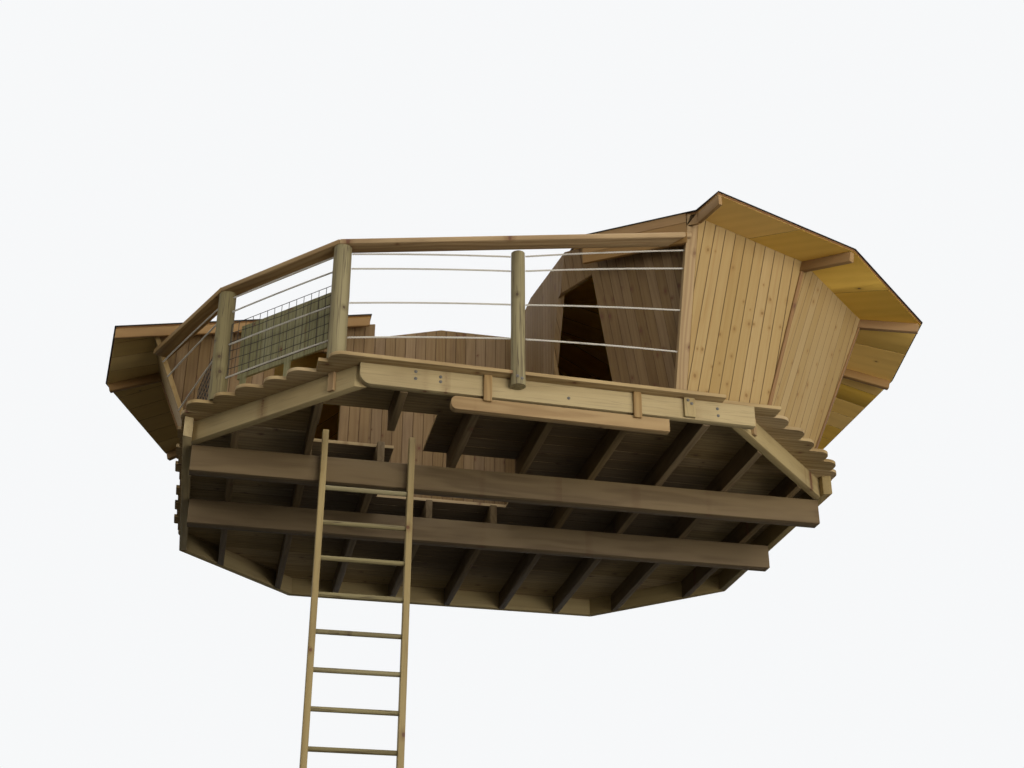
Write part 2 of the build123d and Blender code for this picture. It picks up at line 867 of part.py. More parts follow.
# Ropes between the posts
posts = [corner_post, left_post, middle_post, cabin_post]
left_blockers = [largest(left_gable[0]), walls[-1]]
ropes = []
for height in rope_heights:
    for start, end in rail_lines(height):
        rope = round_bar(start, end, rope_dia)
        for blocker in posts + left_blockers:
            rope = rope - blocker
        ropes.append(largest(rope))
export(Compound(children=ropes), "rail_ropes")

# Nets: square mesh tied to the inner face of the ropes
net_low = rope_heights[0]
net_high = screen_high
beside_post = sqrt(post_dia ** 2 - rope_dia ** 2) / 2
a, b = between_posts(point_left, point_corner, beside_post)
export(net(a, b, net_low, net_high), "corner_net")
lean_at = lean_per_height * rope_heights[0]
far_low = (wall_feet[-1][0] + wall_end[0] * lean_at, wall_feet[-1][1] + wall_end[1] * lean_at)
a, b = between_posts(far_low, point_left, beside_post)
export(net(a, b, net_low, net_high), "left_net")

# Low board screen inside the cut corner
screen_inset = post_inset + post_dia / 2 + screen_clear + screen_thick / 2
ax, ay = ring_point(0, screen_inset)
bx, by = ring_point(7, screen_inset)
start = (ax + (bx - ax) * screen_start, ay + (by - ay) * screen_start)
end = (ax + (bx - ax) * screen_end, ay + (by - ay) * screen_end)
length = hypot(end[0] - start[0], end[1] - start[1])
plane = Plane(origin=(*start, 0), x_dir=(end[0] - start[0], end[1] - start[1], 0),
              z_dir=(end[1] - start[1], start[0] - end[0], 0))
face = Pos(length / 2, (screen_low + screen_high) / 2) * Rectangle(length, screen_high - screen_low)
for x in (screen_foot, length / 2, length - screen_foot):
    face += Pos(x, screen_low / 2) * Rectangle(screen_foot, screen_low)
export(extrude(plane * face, amount=screen_thick / 2, both=True), "corner_screen")

# Ladder: two stiles bolted to the front trunk beam, and round rungs between them
ladder_back = trunk_front - trunk_beam_width
ladder_front = ladder_back - stile_width
ladder_right = ladder_left + ladder_width
for x, name in ((ladder_left, "ladder_left_stile"), (ladder_right, "ladder_right_stile")):
    stile = box_at(x - stile_depth / 2, x + stile_depth / 2, ladder_front, ladder_back, ground_level, 0)
    export(stile, name)
rungs = []
count = int(-ground_level / rung_pitch)
for k in range(1, count + 1):
    z = ground_level + k * rung_pitch
    if z > joist_low:
        continue
    bar = round_bar(
        (ladder_left + stile_depth / 2, (ladder_front + ladder_back) / 2, z),
        (ladder_right - stile_depth / 2, (ladder_front + ladder_back) / 2, z),
        rung_dia,
    )
    rungs.append(bar)
export(Compound(children=rungs), "ladder_rungs")
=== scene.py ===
import logging
import math
import random
from collections.abc import Callable
from dataclasses import dataclass
from enum import Enum

import bmesh
import bpy
from bmesh.types import BMEdge, BMesh, BMVert
from mathutils import Matrix, Vector


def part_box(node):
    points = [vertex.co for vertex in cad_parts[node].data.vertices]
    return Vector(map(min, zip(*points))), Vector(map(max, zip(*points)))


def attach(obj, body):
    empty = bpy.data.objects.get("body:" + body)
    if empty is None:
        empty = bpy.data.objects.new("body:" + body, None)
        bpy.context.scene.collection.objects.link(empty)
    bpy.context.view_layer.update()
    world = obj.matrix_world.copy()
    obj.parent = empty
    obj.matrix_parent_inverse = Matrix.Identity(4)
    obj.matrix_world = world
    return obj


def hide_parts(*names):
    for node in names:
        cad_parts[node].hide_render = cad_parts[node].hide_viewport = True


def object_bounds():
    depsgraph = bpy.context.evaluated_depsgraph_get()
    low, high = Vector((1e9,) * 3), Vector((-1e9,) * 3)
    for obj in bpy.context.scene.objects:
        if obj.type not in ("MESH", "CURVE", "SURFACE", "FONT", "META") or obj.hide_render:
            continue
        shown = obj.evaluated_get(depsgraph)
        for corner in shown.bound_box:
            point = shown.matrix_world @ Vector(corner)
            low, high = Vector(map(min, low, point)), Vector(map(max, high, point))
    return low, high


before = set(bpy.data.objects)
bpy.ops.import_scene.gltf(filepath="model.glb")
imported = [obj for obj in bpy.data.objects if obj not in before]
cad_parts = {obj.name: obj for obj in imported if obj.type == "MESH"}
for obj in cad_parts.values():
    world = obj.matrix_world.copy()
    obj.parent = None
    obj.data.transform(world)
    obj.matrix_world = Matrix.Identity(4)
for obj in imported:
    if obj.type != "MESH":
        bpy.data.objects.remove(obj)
CAD_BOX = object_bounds()
LOG = logging.getLogger("tree_house")
EAST = Vector((1.0, 0.0, 0.0))
NORTH = Vector((0.0, 1.0, 0.0))
UP = Vector((0.0, 0.0, 1.0))
ORIGIN = (0.0, 0.0, 0.0)
DECK_MIDDLE = (0.45, 1.05, 0.0)
PARALLEL = 0.9999
Colour = tuple[float, float, float]


def math_operator(operation: str, swapped: bool = False) -> Callable[["Socket", object], "Socket"]:
    """Make an operator that adds one Math node.

    Args:
        operation: Blender's name for the node's operation.
        swapped: Whether the socket stands on the right of the operator.

    Returns:
        The method for the Socket class.
    """

    def apply(self: "Socket", other: object) -> "Socket":
        """Join the socket with another value."""
        first, second = (other, self) if swapped else (self, other)
        return self.graph.node("ShaderNodeMath", {"operation": operation}, {0: first, 1: second})

    return apply


class Socket:
    """Output of a shader node that takes part in arithmetic."""

    __add__, __radd__ = math_operator("ADD"), math_operator("ADD", True)
    __sub__, __rsub__ = math_operator("SUBTRACT"), math_operator("SUBTRACT", True)
    __mul__, __rmul__ = math_operator("MULTIPLY"), math_operator("MULTIPLY", True)
    __truediv__, __rtruediv__ = math_operator("DIVIDE"), math_operator("DIVIDE", True)

    def __init__(self, graph: "Graph", link: bpy.types.NodeSocket | None) -> None:
        """Keep the node's output and the graph that it belongs to."""
        self.graph = graph
        self.link = link

    def __abs__(self) -> "Socket":
        """Size without sign."""
        return self.graph.node("ShaderNodeMath", {"operation": "ABSOLUTE"}, {0: self})


class Graph:
    """Node tree of one material or world."""

    def __init__(self, tree: bpy.types.NodeTree) -> None:
        """Empty the tree, which is then filled."""
        self.tree = tree
        tree.nodes.clear()

    def node(self, kind: str, settings: dict | None = None, values: dict | None = None,
             output: int | str = 0) -> Socket:
        """Add a node, its settings first and then its inputs.

        Args:
            kind: Blender's name for the node type.
            settings: Properties of the node.
            values: Numbers, colours or sockets for the inputs, by index or name.
            output: Which output is handed back.

        Returns:
            The chosen output.
        """
        made = self.tree.nodes.new(kind)
        for key, value in (settings or {}).items():
            setattr(made, key, value)
        for key, value in (values or {}).items():
            target = made.inputs[key]
            if isinstance(value, Socket):
                self.tree.links.new(value.link, target)
            elif isinstance(value, tuple) and len(value) == 3 and target.type == "RGBA":
                target.default_value = (*value, 1.0)
            else:
                target.default_value = value
        return Socket(self, made.outputs[output] if made.outputs else None)

    def attribute(self, name: str, output: str = "Fac") -> Socket:
        """Read an attribute of the mesh."""
        return self.node("ShaderNodeAttribute", {"attribute_name": name}, None, output)

    def place(self, kind: str = "Object") -> Socket:
        """Position on the piece, in metres, or another kind of coordinates."""
        return self.node("ShaderNodeTexCoord", None, None, kind)

    def axis(self, vector: Socket, index: int) -> Socket:
        """One coordinate of a vector."""
        return self.node("ShaderNodeSeparateXYZ", None, {0: vector}, index)

    def ray(self, kind: str) -> Socket:
        """One for rays of the given kind, nought for the others."""
        return self.node("ShaderNodeLightPath", None, None, f"Is {kind} Ray")

    def vector(self, operation: str, first: Socket, second: object, output: str = "Vector") -> Socket:
        """Join two vectors through one Vector Math node."""
        return self.node("ShaderNodeVectorMath", {"operation": operation}, {0: first, 1: second}, output)

    def between(self, value: Socket, low: float, high: float) -> Socket:
        """Smooth step of a value from one limit to another."""
        return self.node("ShaderNodeMapRange", {"interpolation_type": "SMOOTHSTEP"},
                         {0: value, 1: low, 2: high, 3: 0.0, 4: 1.0})

    def mix(self, amount: object, first: object, second: object) -> Socket:
        """Blend two colours."""
        return self.node("ShaderNodeMix", {"data_type": "RGBA"}, {0: amount, 6: first, 7: second}, 2)

    def noise(self, vector: Socket, scale: float | Colour, detail: float = 2.0,
              rough: float = 0.5) -> Socket:
        """Soft noise between nought and one.

        Args:
            vector: Position that it reads.
            scale: How fine it is, as one number or by axis.
            detail: Layers of finer noise.
            rough: Strength of the finer layers.

        Returns:
            The noise.
        """
        if isinstance(scale, tuple):
            vector, scale = self.vector("MULTIPLY", vector, scale), 1.0
        return self.node("ShaderNodeTexNoise", None,
                         {"Vector": vector, "Scale": scale, "Detail": detail, "Roughness": rough})

    def bump(self, height: Socket, depth: float) -> Socket:
        """Normal from a height that reaches the given depth in metres."""
        return self.node("ShaderNodeBump", None, {"Strength": 1.0, "Distance": depth, "Height": height})

    def surface(self, colour: Socket, roughness: object, normal: Socket, **constants: float) -> None:
        """End the tree in one Principled surface.

        Args:
            colour: Base colour.
            roughness: Roughness or its socket.
            normal: Bump.
            constants: Plain values for other inputs of the surface.
        """
        values = {"Base Color": colour, "Roughness": roughness, "Normal": normal}
        values |= {key.replace("_", " "): value for key, value in constants.items()}
        shader = self.node("ShaderNodeBsdfPrincipled", None, values)
        self.node("ShaderNodeOutputMaterial", None, {"Surface": shader})


def new_material(name: str) -> tuple[bpy.types.Material, Graph]:
    """Make an empty node material.

    Args:
        name: Name of the finish.

    Returns:
        The material and its graph.
    """
    material = bpy.data.materials.new(name)
    material.use_nodes = True
    return material, Graph(material.node_tree)


class Finish:
    """Named finish, whose kinds paint their own nodes."""

    name: str

    def material(self) -> bpy.types.Material:
        """Build the finish at its first use.

        Returns:
            The node material.
        """
        found = bpy.data.materials.get(self.name)
        if found:
            return found
        material, graph = new_material(self.name)
        self.paint(graph)
        return material

    def paint(self, g: Graph) -> None:
        """Fill the graph of the material."""
        raise NotImplementedError(self.name)


@dataclass(frozen=True)
class Softwood(Finish):
    """Sawn softwood with growth rings, fibres, knots, weathered patches and, on some boards, painted
    shade.

    Each board carries its own position in the attribute "grain", in metres along, across and through
    the board, and two random numbers in "tone" and "seed".
    """

    name: str
    light: Colour
    dark: Colour
    stain: Colour
    knot: Colour = (0.13, 0.055, 0.025)
    ring_scale: float = 26.0
    ring_depth: float = 0.5
    knot_share: float = 0.14
    knot_scale: float = 8.0
    tone_spread: float = 0.25
    stain_share: float = 0.5
    roughness: float = 0.62
    edge_half: float = 0.0
    edge_dark: float = 0.7
    painted_shade_below: float = 0.0
    fresh_and_shade_above: float = 0.0
    rim_within: float = 0.0
    checks: float = 0.0
    streaks: float = 0.0
    grey_west: float = 0.0
    shine: float = 0.22

    def paint(self, g: Graph) -> None:
        """Draw rings, fibres, knots and stains, and then the wear and the painted shade that this wood
        has.
        """
        ring_turn, ring_bend, bump_depth = 6.283, 0.16, 0.0012
        local, tone, seed = g.attribute("grain", "Vector"), g.attribute("tone"), g.attribute("seed")
        shift = g.node("ShaderNodeCombineXYZ", None, {0: seed * 19.0, 1: seed * 3.7, 2: seed * 1.3})
        place = g.vector("ADD", local, shift)
        bend = g.noise(place, (0.9, 7.0, 7.0))
        angle = (g.axis(place, 1) + bend * ring_bend) * (self.ring_scale * ring_turn)
        rings = g.node("ShaderNodeMath", {"operation": "SINE"}, {0: angle}) * 0.5 + 0.5
        fibre = g.noise(place, (3.0, 160.0, 160.0), 3.0, 0.6)
        patch = g.noise(place, (1.2, 3.0, 3.0), 3.0, 0.6)
        core, halo = self.knots(g, place)
        wave = rings * self.ring_depth + fibre * 0.35
        base = g.mix(g.between(wave + halo * 0.4, 0.1, 1.0), self.light, self.dark)
        stained = g.mix(g.between(patch, 0.5, 0.78) * self.stain_share, base, self.stain)
        shade = g.node("ShaderNodeHueSaturation", None,
                       {"Value": 1.0 - self.tone_spread * 0.5 + tone * self.tone_spread,
                        "Saturation": 1.06 - tone * 0.14, "Color": stained})
        colour = g.mix(core * 0.85 + halo * 0.2, shade, self.knot)
        if self.checks:
            colour, crack = self.crack(g, place, colour)
            fibre = fibre - crack * 0.9
        if self.streaks:
            run = g.noise(place, (1.1, 26.0, 26.0), 3.0, 0.6)
            colour = g.mix(g.between(run, 0.5, 0.72) * self.streaks, colour, self.stain)
        colour = self.weather_and_shade(g, local, colour)
        height = fibre * 0.5 + rings * 0.4 - core * 0.5
        rough = self.roughness + fibre * 0.14 - core * 0.12
        g.surface(colour, rough, g.bump(height, bump_depth), Specular_IOR_Level=self.shine)

    def knots(self, g: Graph, place: Socket) -> tuple[Socket, Socket]:
        """Scatter knots of different sizes over the boards.

        Args:
            g: Graph of the material.
            place: Position in the board, shifted by its seed.

        Returns:
            The dark core of each knot, and the ring of bent grain round it.
        """
        cells = g.vector("MULTIPLY", place, (self.knot_scale, self.knot_scale * 1.25, 1.0))
        distance, pick = (
            g.node("ShaderNodeTexVoronoi", {"voronoi_dimensions": "2D"},
                   {"Vector": cells, "Scale": 1.0}, output) for output in ("Distance", "Color"))
        chosen, size = (g.node("ShaderNodeSeparateColor", None, {0: pick}, part) for part in (0, 1))
        ragged = g.noise(place, (40.0, 60.0, 60.0))
        near = distance / (0.45 + size * 0.75) + (ragged - 0.5) * 0.1
        present = g.between(chosen, 1.0 - self.knot_share, 1.0 - self.knot_share + 0.02)
        core = present * (1.0 - g.between(near, 0.07, 0.15))
        return core, present * (1.0 - g.between(near, 0.1, 0.46))

    def crack(self, g: Graph, place: Socket, colour: Socket) -> tuple[Socket, Socket]:
        """Run long drying cracks and stained streaks along the timber.

        Args:
            g: Graph of the material.
            place: Position in the timber, shifted by its seed.
            colour: Colour so far.

        Returns:
            The new colour and the mask of the cracks.
        """
        shadow: Colour = (0.06, 0.038, 0.018)
        strand = g.noise(place, (0.9, 34.0, 34.0), 2.0, 0.45)
        crack = 1.0 - g.between(abs(strand - 0.47), 0.004, 0.022)
        streak = g.noise(place, (0.7, 14.0, 14.0))
        colour = g.mix(g.between(streak, 0.42, 0.7) * self.checks * 0.45, colour, self.stain)
        return g.mix(crack * self.checks, colour, shadow), crack

    def weather_and_shade(self, g: Graph, local: Socket, colour: Socket) -> Socket:
        """Grey and soil the parts that weathering treats differently, darken the tops of boards (partly
        fresher wood under the eaves, partly painted shade of the overhang) and paint shade under the
        deck.

        Args:
            g: Graph of the material.
            local: Position in the board.
            colour: Colour so far.

        Returns:
            The new colour.
        """
        if self.grey_west:
            grey: Colour = (0.27, 0.215, 0.125)
            west = 1.0 - g.between(g.axis(g.place(), 0), -2.4, -0.6)
            colour = g.mix(west * self.grey_west, colour, grey)
        if self.fresh_and_shade_above:
            # Darker orange towards the top of the wall boards: partly fresher wood under the eaves,
            # partly painted shade of the roof overhang.
            fresh: Colour = (0.27, 0.145, 0.04)
            fresh_and_shade_top = g.between(g.axis(local, 0), self.fresh_and_shade_above, 0.95)
            colour = g.mix(fresh_and_shade_top * 0.7, colour, fresh)
        if self.edge_half:
            dirt: Colour = (0.075, 0.038, 0.017)
            edge = g.between(abs(g.axis(local, 1)), self.edge_half - 0.006, self.edge_half - 0.001)
            colour = g.mix(edge * self.edge_dark, colour, dirt)
        if self.painted_shade_below:
            # Painted shade on the underside of the deck's boards, deepest towards the deck's middle.
            underside_shade: Colour = (0.05, 0.028, 0.012)
            reach = g.vector("DISTANCE", g.place(), DECK_MIDDLE, "Value")
            under = g.between(-1.0 * g.axis(local, 2), self.painted_shade_below - 0.001, self.painted_shade_below)
            colour = g.mix(under * (0.8 - g.between(reach, 1.7, 2.4) * 0.65), colour, underside_shade)
        if self.rim_within:
            rim: Colour = (0.17, 0.08, 0.03)
            rind = g.between(abs(g.axis(local, 2)), self.rim_within - 0.0006, self.rim_within)
            colour = g.mix(1.0 - rind, colour, rim)
        return colour


@dataclass(frozen=True)
class Roofing(Finish):
    """Dark mineral felt with fine granules and soft stains."""

    name: str = "roofing_felt"
    base: Colour = (0.028, 0.027, 0.026)
    pale: Colour = (0.075, 0.07, 0.062)

    def paint(self, g: Graph) -> None:
        """Mix granules, patches and streaks."""
        place = g.place()
        grit = g.noise(place, 900.0, 2.0, 0.7)
        patch = g.noise(place, 2.4, 4.0, 0.6)
        streak = g.noise(place, (9.0, 9.0, 1.8), 3.0)
        stain = g.between(patch, 0.45, 0.8) * 0.35
        tone = g.between(grit, 0.45, 0.75) * 0.5 + stain + streak * 0.15
        colour = g.mix(tone, self.base, self.pale)
        bump = g.bump(grit + patch * 0.6, 0.0012)
        g.surface(colour, 0.9 - patch * 0.1, bump, Specular_IOR_Level=0.25)


@dataclass(frozen=True)
class Fibre(Finish):
    """Twisted rope or cord: pale or dark fibres with dirt between the strands."""

    name: str
    light: Colour
    dark: Colour
    thread: float = 700.0

    def paint(self, g: Graph) -> None:
        """Mix threads and dirt."""
        place = g.place()
        yarn = g.noise(place, (self.thread * 0.35, self.thread * 0.35, self.thread), 2.0, 0.6)
        dirt = g.noise(place, 9.0, 3.0, 0.6)
        worn = g.between(yarn, 0.35, 0.7) * 0.45 + g.between(dirt, 0.5, 0.8) * 0.4
        colour = g.mix(worn, self.light, self.dark)
        g.surface(colour, 0.85, g.bump(yarn, 0.0008), Specular_IOR_Level=0.3)


@dataclass(frozen=True)
class Steel(Finish):
    """Galvanised steel of bolts and washers, dulled by weather."""

    name: str = "galvanised_steel"
    light: Colour = (0.17, 0.155, 0.13)
    dark: Colour = (0.08, 0.068, 0.05)
    rusty: Colour = (0.12, 0.05, 0.02)

    def paint(self, g: Graph) -> None:
        """Mix spangle and rust."""
        place = g.place()
        spangle = g.noise(place, 220.0, 2.0, 0.6)
        rust = g.between(g.noise(place, 60.0, 4.0, 0.7), 0.55, 0.8)
        colour = g.mix(rust * 0.7, g.mix(spangle, self.light, self.dark), self.rusty)
        g.surface(colour, 0.38 + rust * 0.4, g.bump(spangle, 0.0004), Metallic=0.15,
                  Specular_IOR_Level=0.3)


WALL_WOOD = Softwood(
    "wall_softwood", (0.50, 0.40, 0.175), (0.40, 0.30, 0.115), (0.28, 0.18, 0.062),
    ring_scale=20.0, ring_depth=0.3, edge_half=0.05, edge_dark=0.8, stain_share=0.4,
    knot=(0.075, 0.03, 0.012), knot_share=0.24, knot_scale=9.0, tone_spread=0.34, streaks=0.55,
    fresh_and_shade_above=0.25)
AGED_WALL = Softwood(
    "aged_wall_softwood", (0.49, 0.41, 0.205), (0.40, 0.315, 0.145), (0.33, 0.235, 0.095),
    ring_scale=24.0, ring_depth=0.3, edge_half=0.05, knot=(0.06, 0.026, 0.012), knot_share=0.2,
    knot_scale=9.0, tone_spread=0.36, streaks=0.7, fresh_and_shade_above=0.3)
# Gables and inner walls: the same wood as the outer walls, darkened and reddened as painted shade.
SHADED_GABLE_WOOD = Softwood(
    "shaded_gable_softwood", (0.21, 0.13, 0.053), (0.15, 0.084, 0.034), (0.10, 0.054, 0.025),
    ring_depth=0.35, edge_half=0.05, tone_spread=0.3)
FLOOR_WOOD = Softwood(
    "floor_softwood", (0.38, 0.265, 0.12), (0.25, 0.16, 0.066), (0.16, 0.10, 0.043),
    ring_scale=18.0, knot_share=0.1, painted_shade_below=0.013)
BEAM_WOOD = Softwood(
    "beam_softwood", (0.36, 0.265, 0.118), (0.28, 0.195, 0.08), (0.20, 0.135, 0.056),
    ring_scale=14.0, ring_depth=0.35, knot_share=0.08, knot_scale=6.0, checks=0.2)
# Bearers and joists under the deck: the deck's wood darkened as painted shade.
SHADED_JOIST_WOOD = Softwood(
    "shaded_joist_softwood", (0.155, 0.103, 0.046), (0.105, 0.066, 0.028), (0.07, 0.043, 0.02),
    ring_scale=22.0, knot_share=0.1, knot_scale=6.0, stain_share=0.4)
RAIL_WOOD = Softwood(
    "rail_softwood", (0.32, 0.205, 0.085), (0.22, 0.128, 0.048), (0.16, 0.09, 0.038),
    ring_scale=20.0, knot_share=0.1)
VERGE_WOOD = Softwood(
    "verge_softwood", (0.29, 0.165, 0.058), (0.215, 0.115, 0.039), (0.16, 0.08, 0.03),
    ring_scale=16.0, ring_depth=0.35, knot_share=0.06, stain_share=0.4)
# Corner battens, dark brown as painted shade along the wall corners.
SHADED_BATTEN_WOOD = Softwood(
    "shaded_batten_softwood", (0.24, 0.125, 0.042), (0.16, 0.08, 0.028), (0.10, 0.05, 0.02),
    ring_scale=30.0, knot_share=0.08)
SCREEN_WOOD = Softwood(
    "screen_softwood", (0.25, 0.225, 0.105), (0.18, 0.15, 0.065), (0.13, 0.105, 0.05),
    edge_half=0.06, edge_dark=0.6, knot_share=0.08)
POLE_WOOD = Softwood(
    "pole_softwood", (0.235, 0.188, 0.084), (0.155, 0.12, 0.05), (0.11, 0.08, 0.035),
    ring_scale=9.0, ring_depth=0.35, knot=(0.07, 0.04, 0.02), knot_share=0.12, knot_scale=7.0,
    stain_share=0.7, checks=0.75)
# Pale orange roof boarding: partly the ply's own colour, partly painted bounce light on the soffit.
BOUNCE_LIT_PLY_WOOD = Softwood(
    "bounce_lit_panel_softwood", (0.76, 0.475, 0.11), (0.66, 0.395, 0.085), (0.50, 0.29, 0.07),
    ring_scale=7.0, ring_depth=0.3, knot_share=0.02, tone_spread=0.12, stain_share=0.3,
    rim_within=0.0088, shine=0.05, grey_west=0.6)
ROPE_WHITE = Fibre("rope_fibre", (0.62, 0.57, 0.47), (0.28, 0.235, 0.18))
NET_DARK = Fibre("net_cord", (0.055, 0.045, 0.035), (0.02, 0.018, 0.015))


class Slot(Enum):
    """Material slots of the record."""

    WALLS = "wall_boards"
    FLOOR = "floor_boards"
    TIMBER = "sawn_timber"
    POLES = "round_poles"
    ROOF = "roof_boards"
    ROPE = "rope"
    NET = "net"


@dataclass
class Axes:
    """Directions of one board: along its length, across its face and through its thickness."""

    along: Vector
    across: Vector

    @property
    def through(self) -> Vector:
        """Direction through the thickness."""
        return self.along.cross(self.across).normalized()


@dataclass
class Side:
    """Middle, outward direction and corners of one flat face of a solid."""

    centre: Vector
    normal: Vector
    corners: list[Vector]


def solid_of(node: str) -> BMesh:
    """Copy of a frame solid with its loose triangles joined into flat faces.

    Args:
        node: Name of the solid in the frame.

    Returns:
        A new mesh in the frame's place.
    """
    mesh = bmesh.new()
    mesh.from_mesh(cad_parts[node].data)
    bmesh.ops.remove_doubles(mesh, verts=mesh.verts, dist=2e-5)
    bmesh.ops.dissolve_limit(mesh, angle_limit=math.radians(0.6), verts=mesh.verts, edges=mesh.edges)
    for layer in list(mesh.loops.layers.uv):
        mesh.loops.layers.uv.remove(layer)
    return mesh


def side_of(node: str, weight: Callable[[Vector], float]) -> Side:
    """Find the face of a frame solid whose weighted area is greatest.

    Args:
        node: Name of the solid in the frame.
        weight: What a face's area is multiplied by, from its normal.

    Returns:
        The face, read before the copy of the solid is freed.
    """
    solid = solid_of(node)
    face = max(solid.faces, key=lambda f: f.calc_area() * weight(f.normal))
    side = Side(face.calc_center_median(), face.normal.copy(), [v.co.copy() for v in face.verts])
    solid.free()
    return side


def islands_of(mesh: BMesh) -> list[BMesh]:
    """Split a mesh into its separate closed solids.

    Args:
        mesh: Mesh that is read and freed.

    Returns:
        One mesh for each solid.
    """
    left = set(mesh.verts)
    groups: list[set[int]] = []
    mesh.verts.index_update()
    while left:
        queue = [left.pop()]
        group = {queue[0].index}
        while queue:
            vertex = queue.pop()
            for other in (edge.other_vert(vertex) for edge in vertex.link_edges):
                if other in left:
                    left.remove(other)
                    group.add(other.index)
                    queue.append(other)
        groups.append(group)
    parts = []
    for group in sorted(groups, key=min):
        part = mesh.copy()
        part.verts.index_update()
        others = [v for v in part.verts if v.index not in group]
        bmesh.ops.delete(part, geom=others, context="VERTS")
        parts.append(part)
    mesh.free()
    return parts


def slice_between(mesh: BMesh, direction: Vector, low: float, high: float) -> BMesh:
    """Closed part of a solid between two parallel planes.

    Args:
        mesh: Closed mesh, which is left as it is.
        direction: Unit normal of the planes.
        low: Distance of the first plane along the direction.
        high: Distance of the second plane.

    Returns:
        The part as a new mesh, empty where the planes miss the solid.
    """
    part = mesh.copy()
    for place, sign in ((low, -1.0), (high, 1.0)):
        cut = bmesh.ops.bisect_plane(
            part, geom=[*part.verts, *part.edges, *part.faces], dist=1e-6,
            plane_co=direction * place, plane_no=direction * sign, clear_outer=True)
        rim = [e for e in cut["geom_cut"] if isinstance(e, BMEdge)]
        if rim:
            bmesh.ops.holes_fill(part, edges=rim, sides=0)
    return part


def round_edges(mesh: BMesh, edges: list[BMEdge], radius: float, segments: int) -> None:
    """Bevel the given edges, if there are any."""
    if edges:
        bmesh.ops.bevel(mesh, geom=edges, offset=radius, offset_type="OFFSET", affect="EDGES",
                        segments=segments, profile=0.5, material=-1, clamp_overlap=True)


def soften(mesh: BMesh, radius: float, segments: int = 1) -> None:
    """Round a mesh's sharp edges, apart from very short ones.

    Args:
        mesh: Mesh that is changed.
        radius: Width of the bevel.
        segments: Steps in the round.
    """
    least = math.radians(25.0)
    sharp = [e for e in mesh.edges if len(e.link_faces) == 2 and e.calc_face_angle(0.0) > least
             and e.calc_length() > radius * 1.5]
    round_edges(mesh, sharp, radius, segments)


def spread(mesh: BMesh, direction: Vector) -> tuple[float, float]:
    """Least and greatest distance of a mesh's points along a direction."""
    places = [v.co.dot(direction) for v in mesh.verts]
    return min(places), max(places)


def middle_of(mesh: BMesh) -> Vector:
    """Mean of a mesh's points."""
    return sum((v.co for v in mesh.verts), Vector()) / len(mesh.verts)


def block(*size: float) -> BMesh:
    """Box of the given size, centred on the origin."""
    mesh = bmesh.new()
    bmesh.ops.create_cube(mesh, size=1.0)
    bmesh.ops.scale(mesh, vec=size, verts=mesh.verts)
    return mesh


def stand(mesh: BMesh, axes: Axes, place: Vector) -> None:
    """Turn a mesh from X, Y and Z to a board's directions and move it to its place."""
    turn = Matrix((axes.along, axes.across, axes.through)).transposed().to_4x4()
    bmesh.ops.transform(mesh, matrix=Matrix.Translation(place) @ turn, verts=mesh.verts)


def show(name: str, data: bpy.types.ID) -> bpy.types.Object:
    """Add an object to the scene.

    Args:
        name: Name of the object.
        data: Its mesh, lamp or camera.

    Returns:
        The object, at the origin.
    """
    thing = bpy.data.objects.new(name, data)
    bpy.context.scene.collection.objects.link(thing)
    return thing


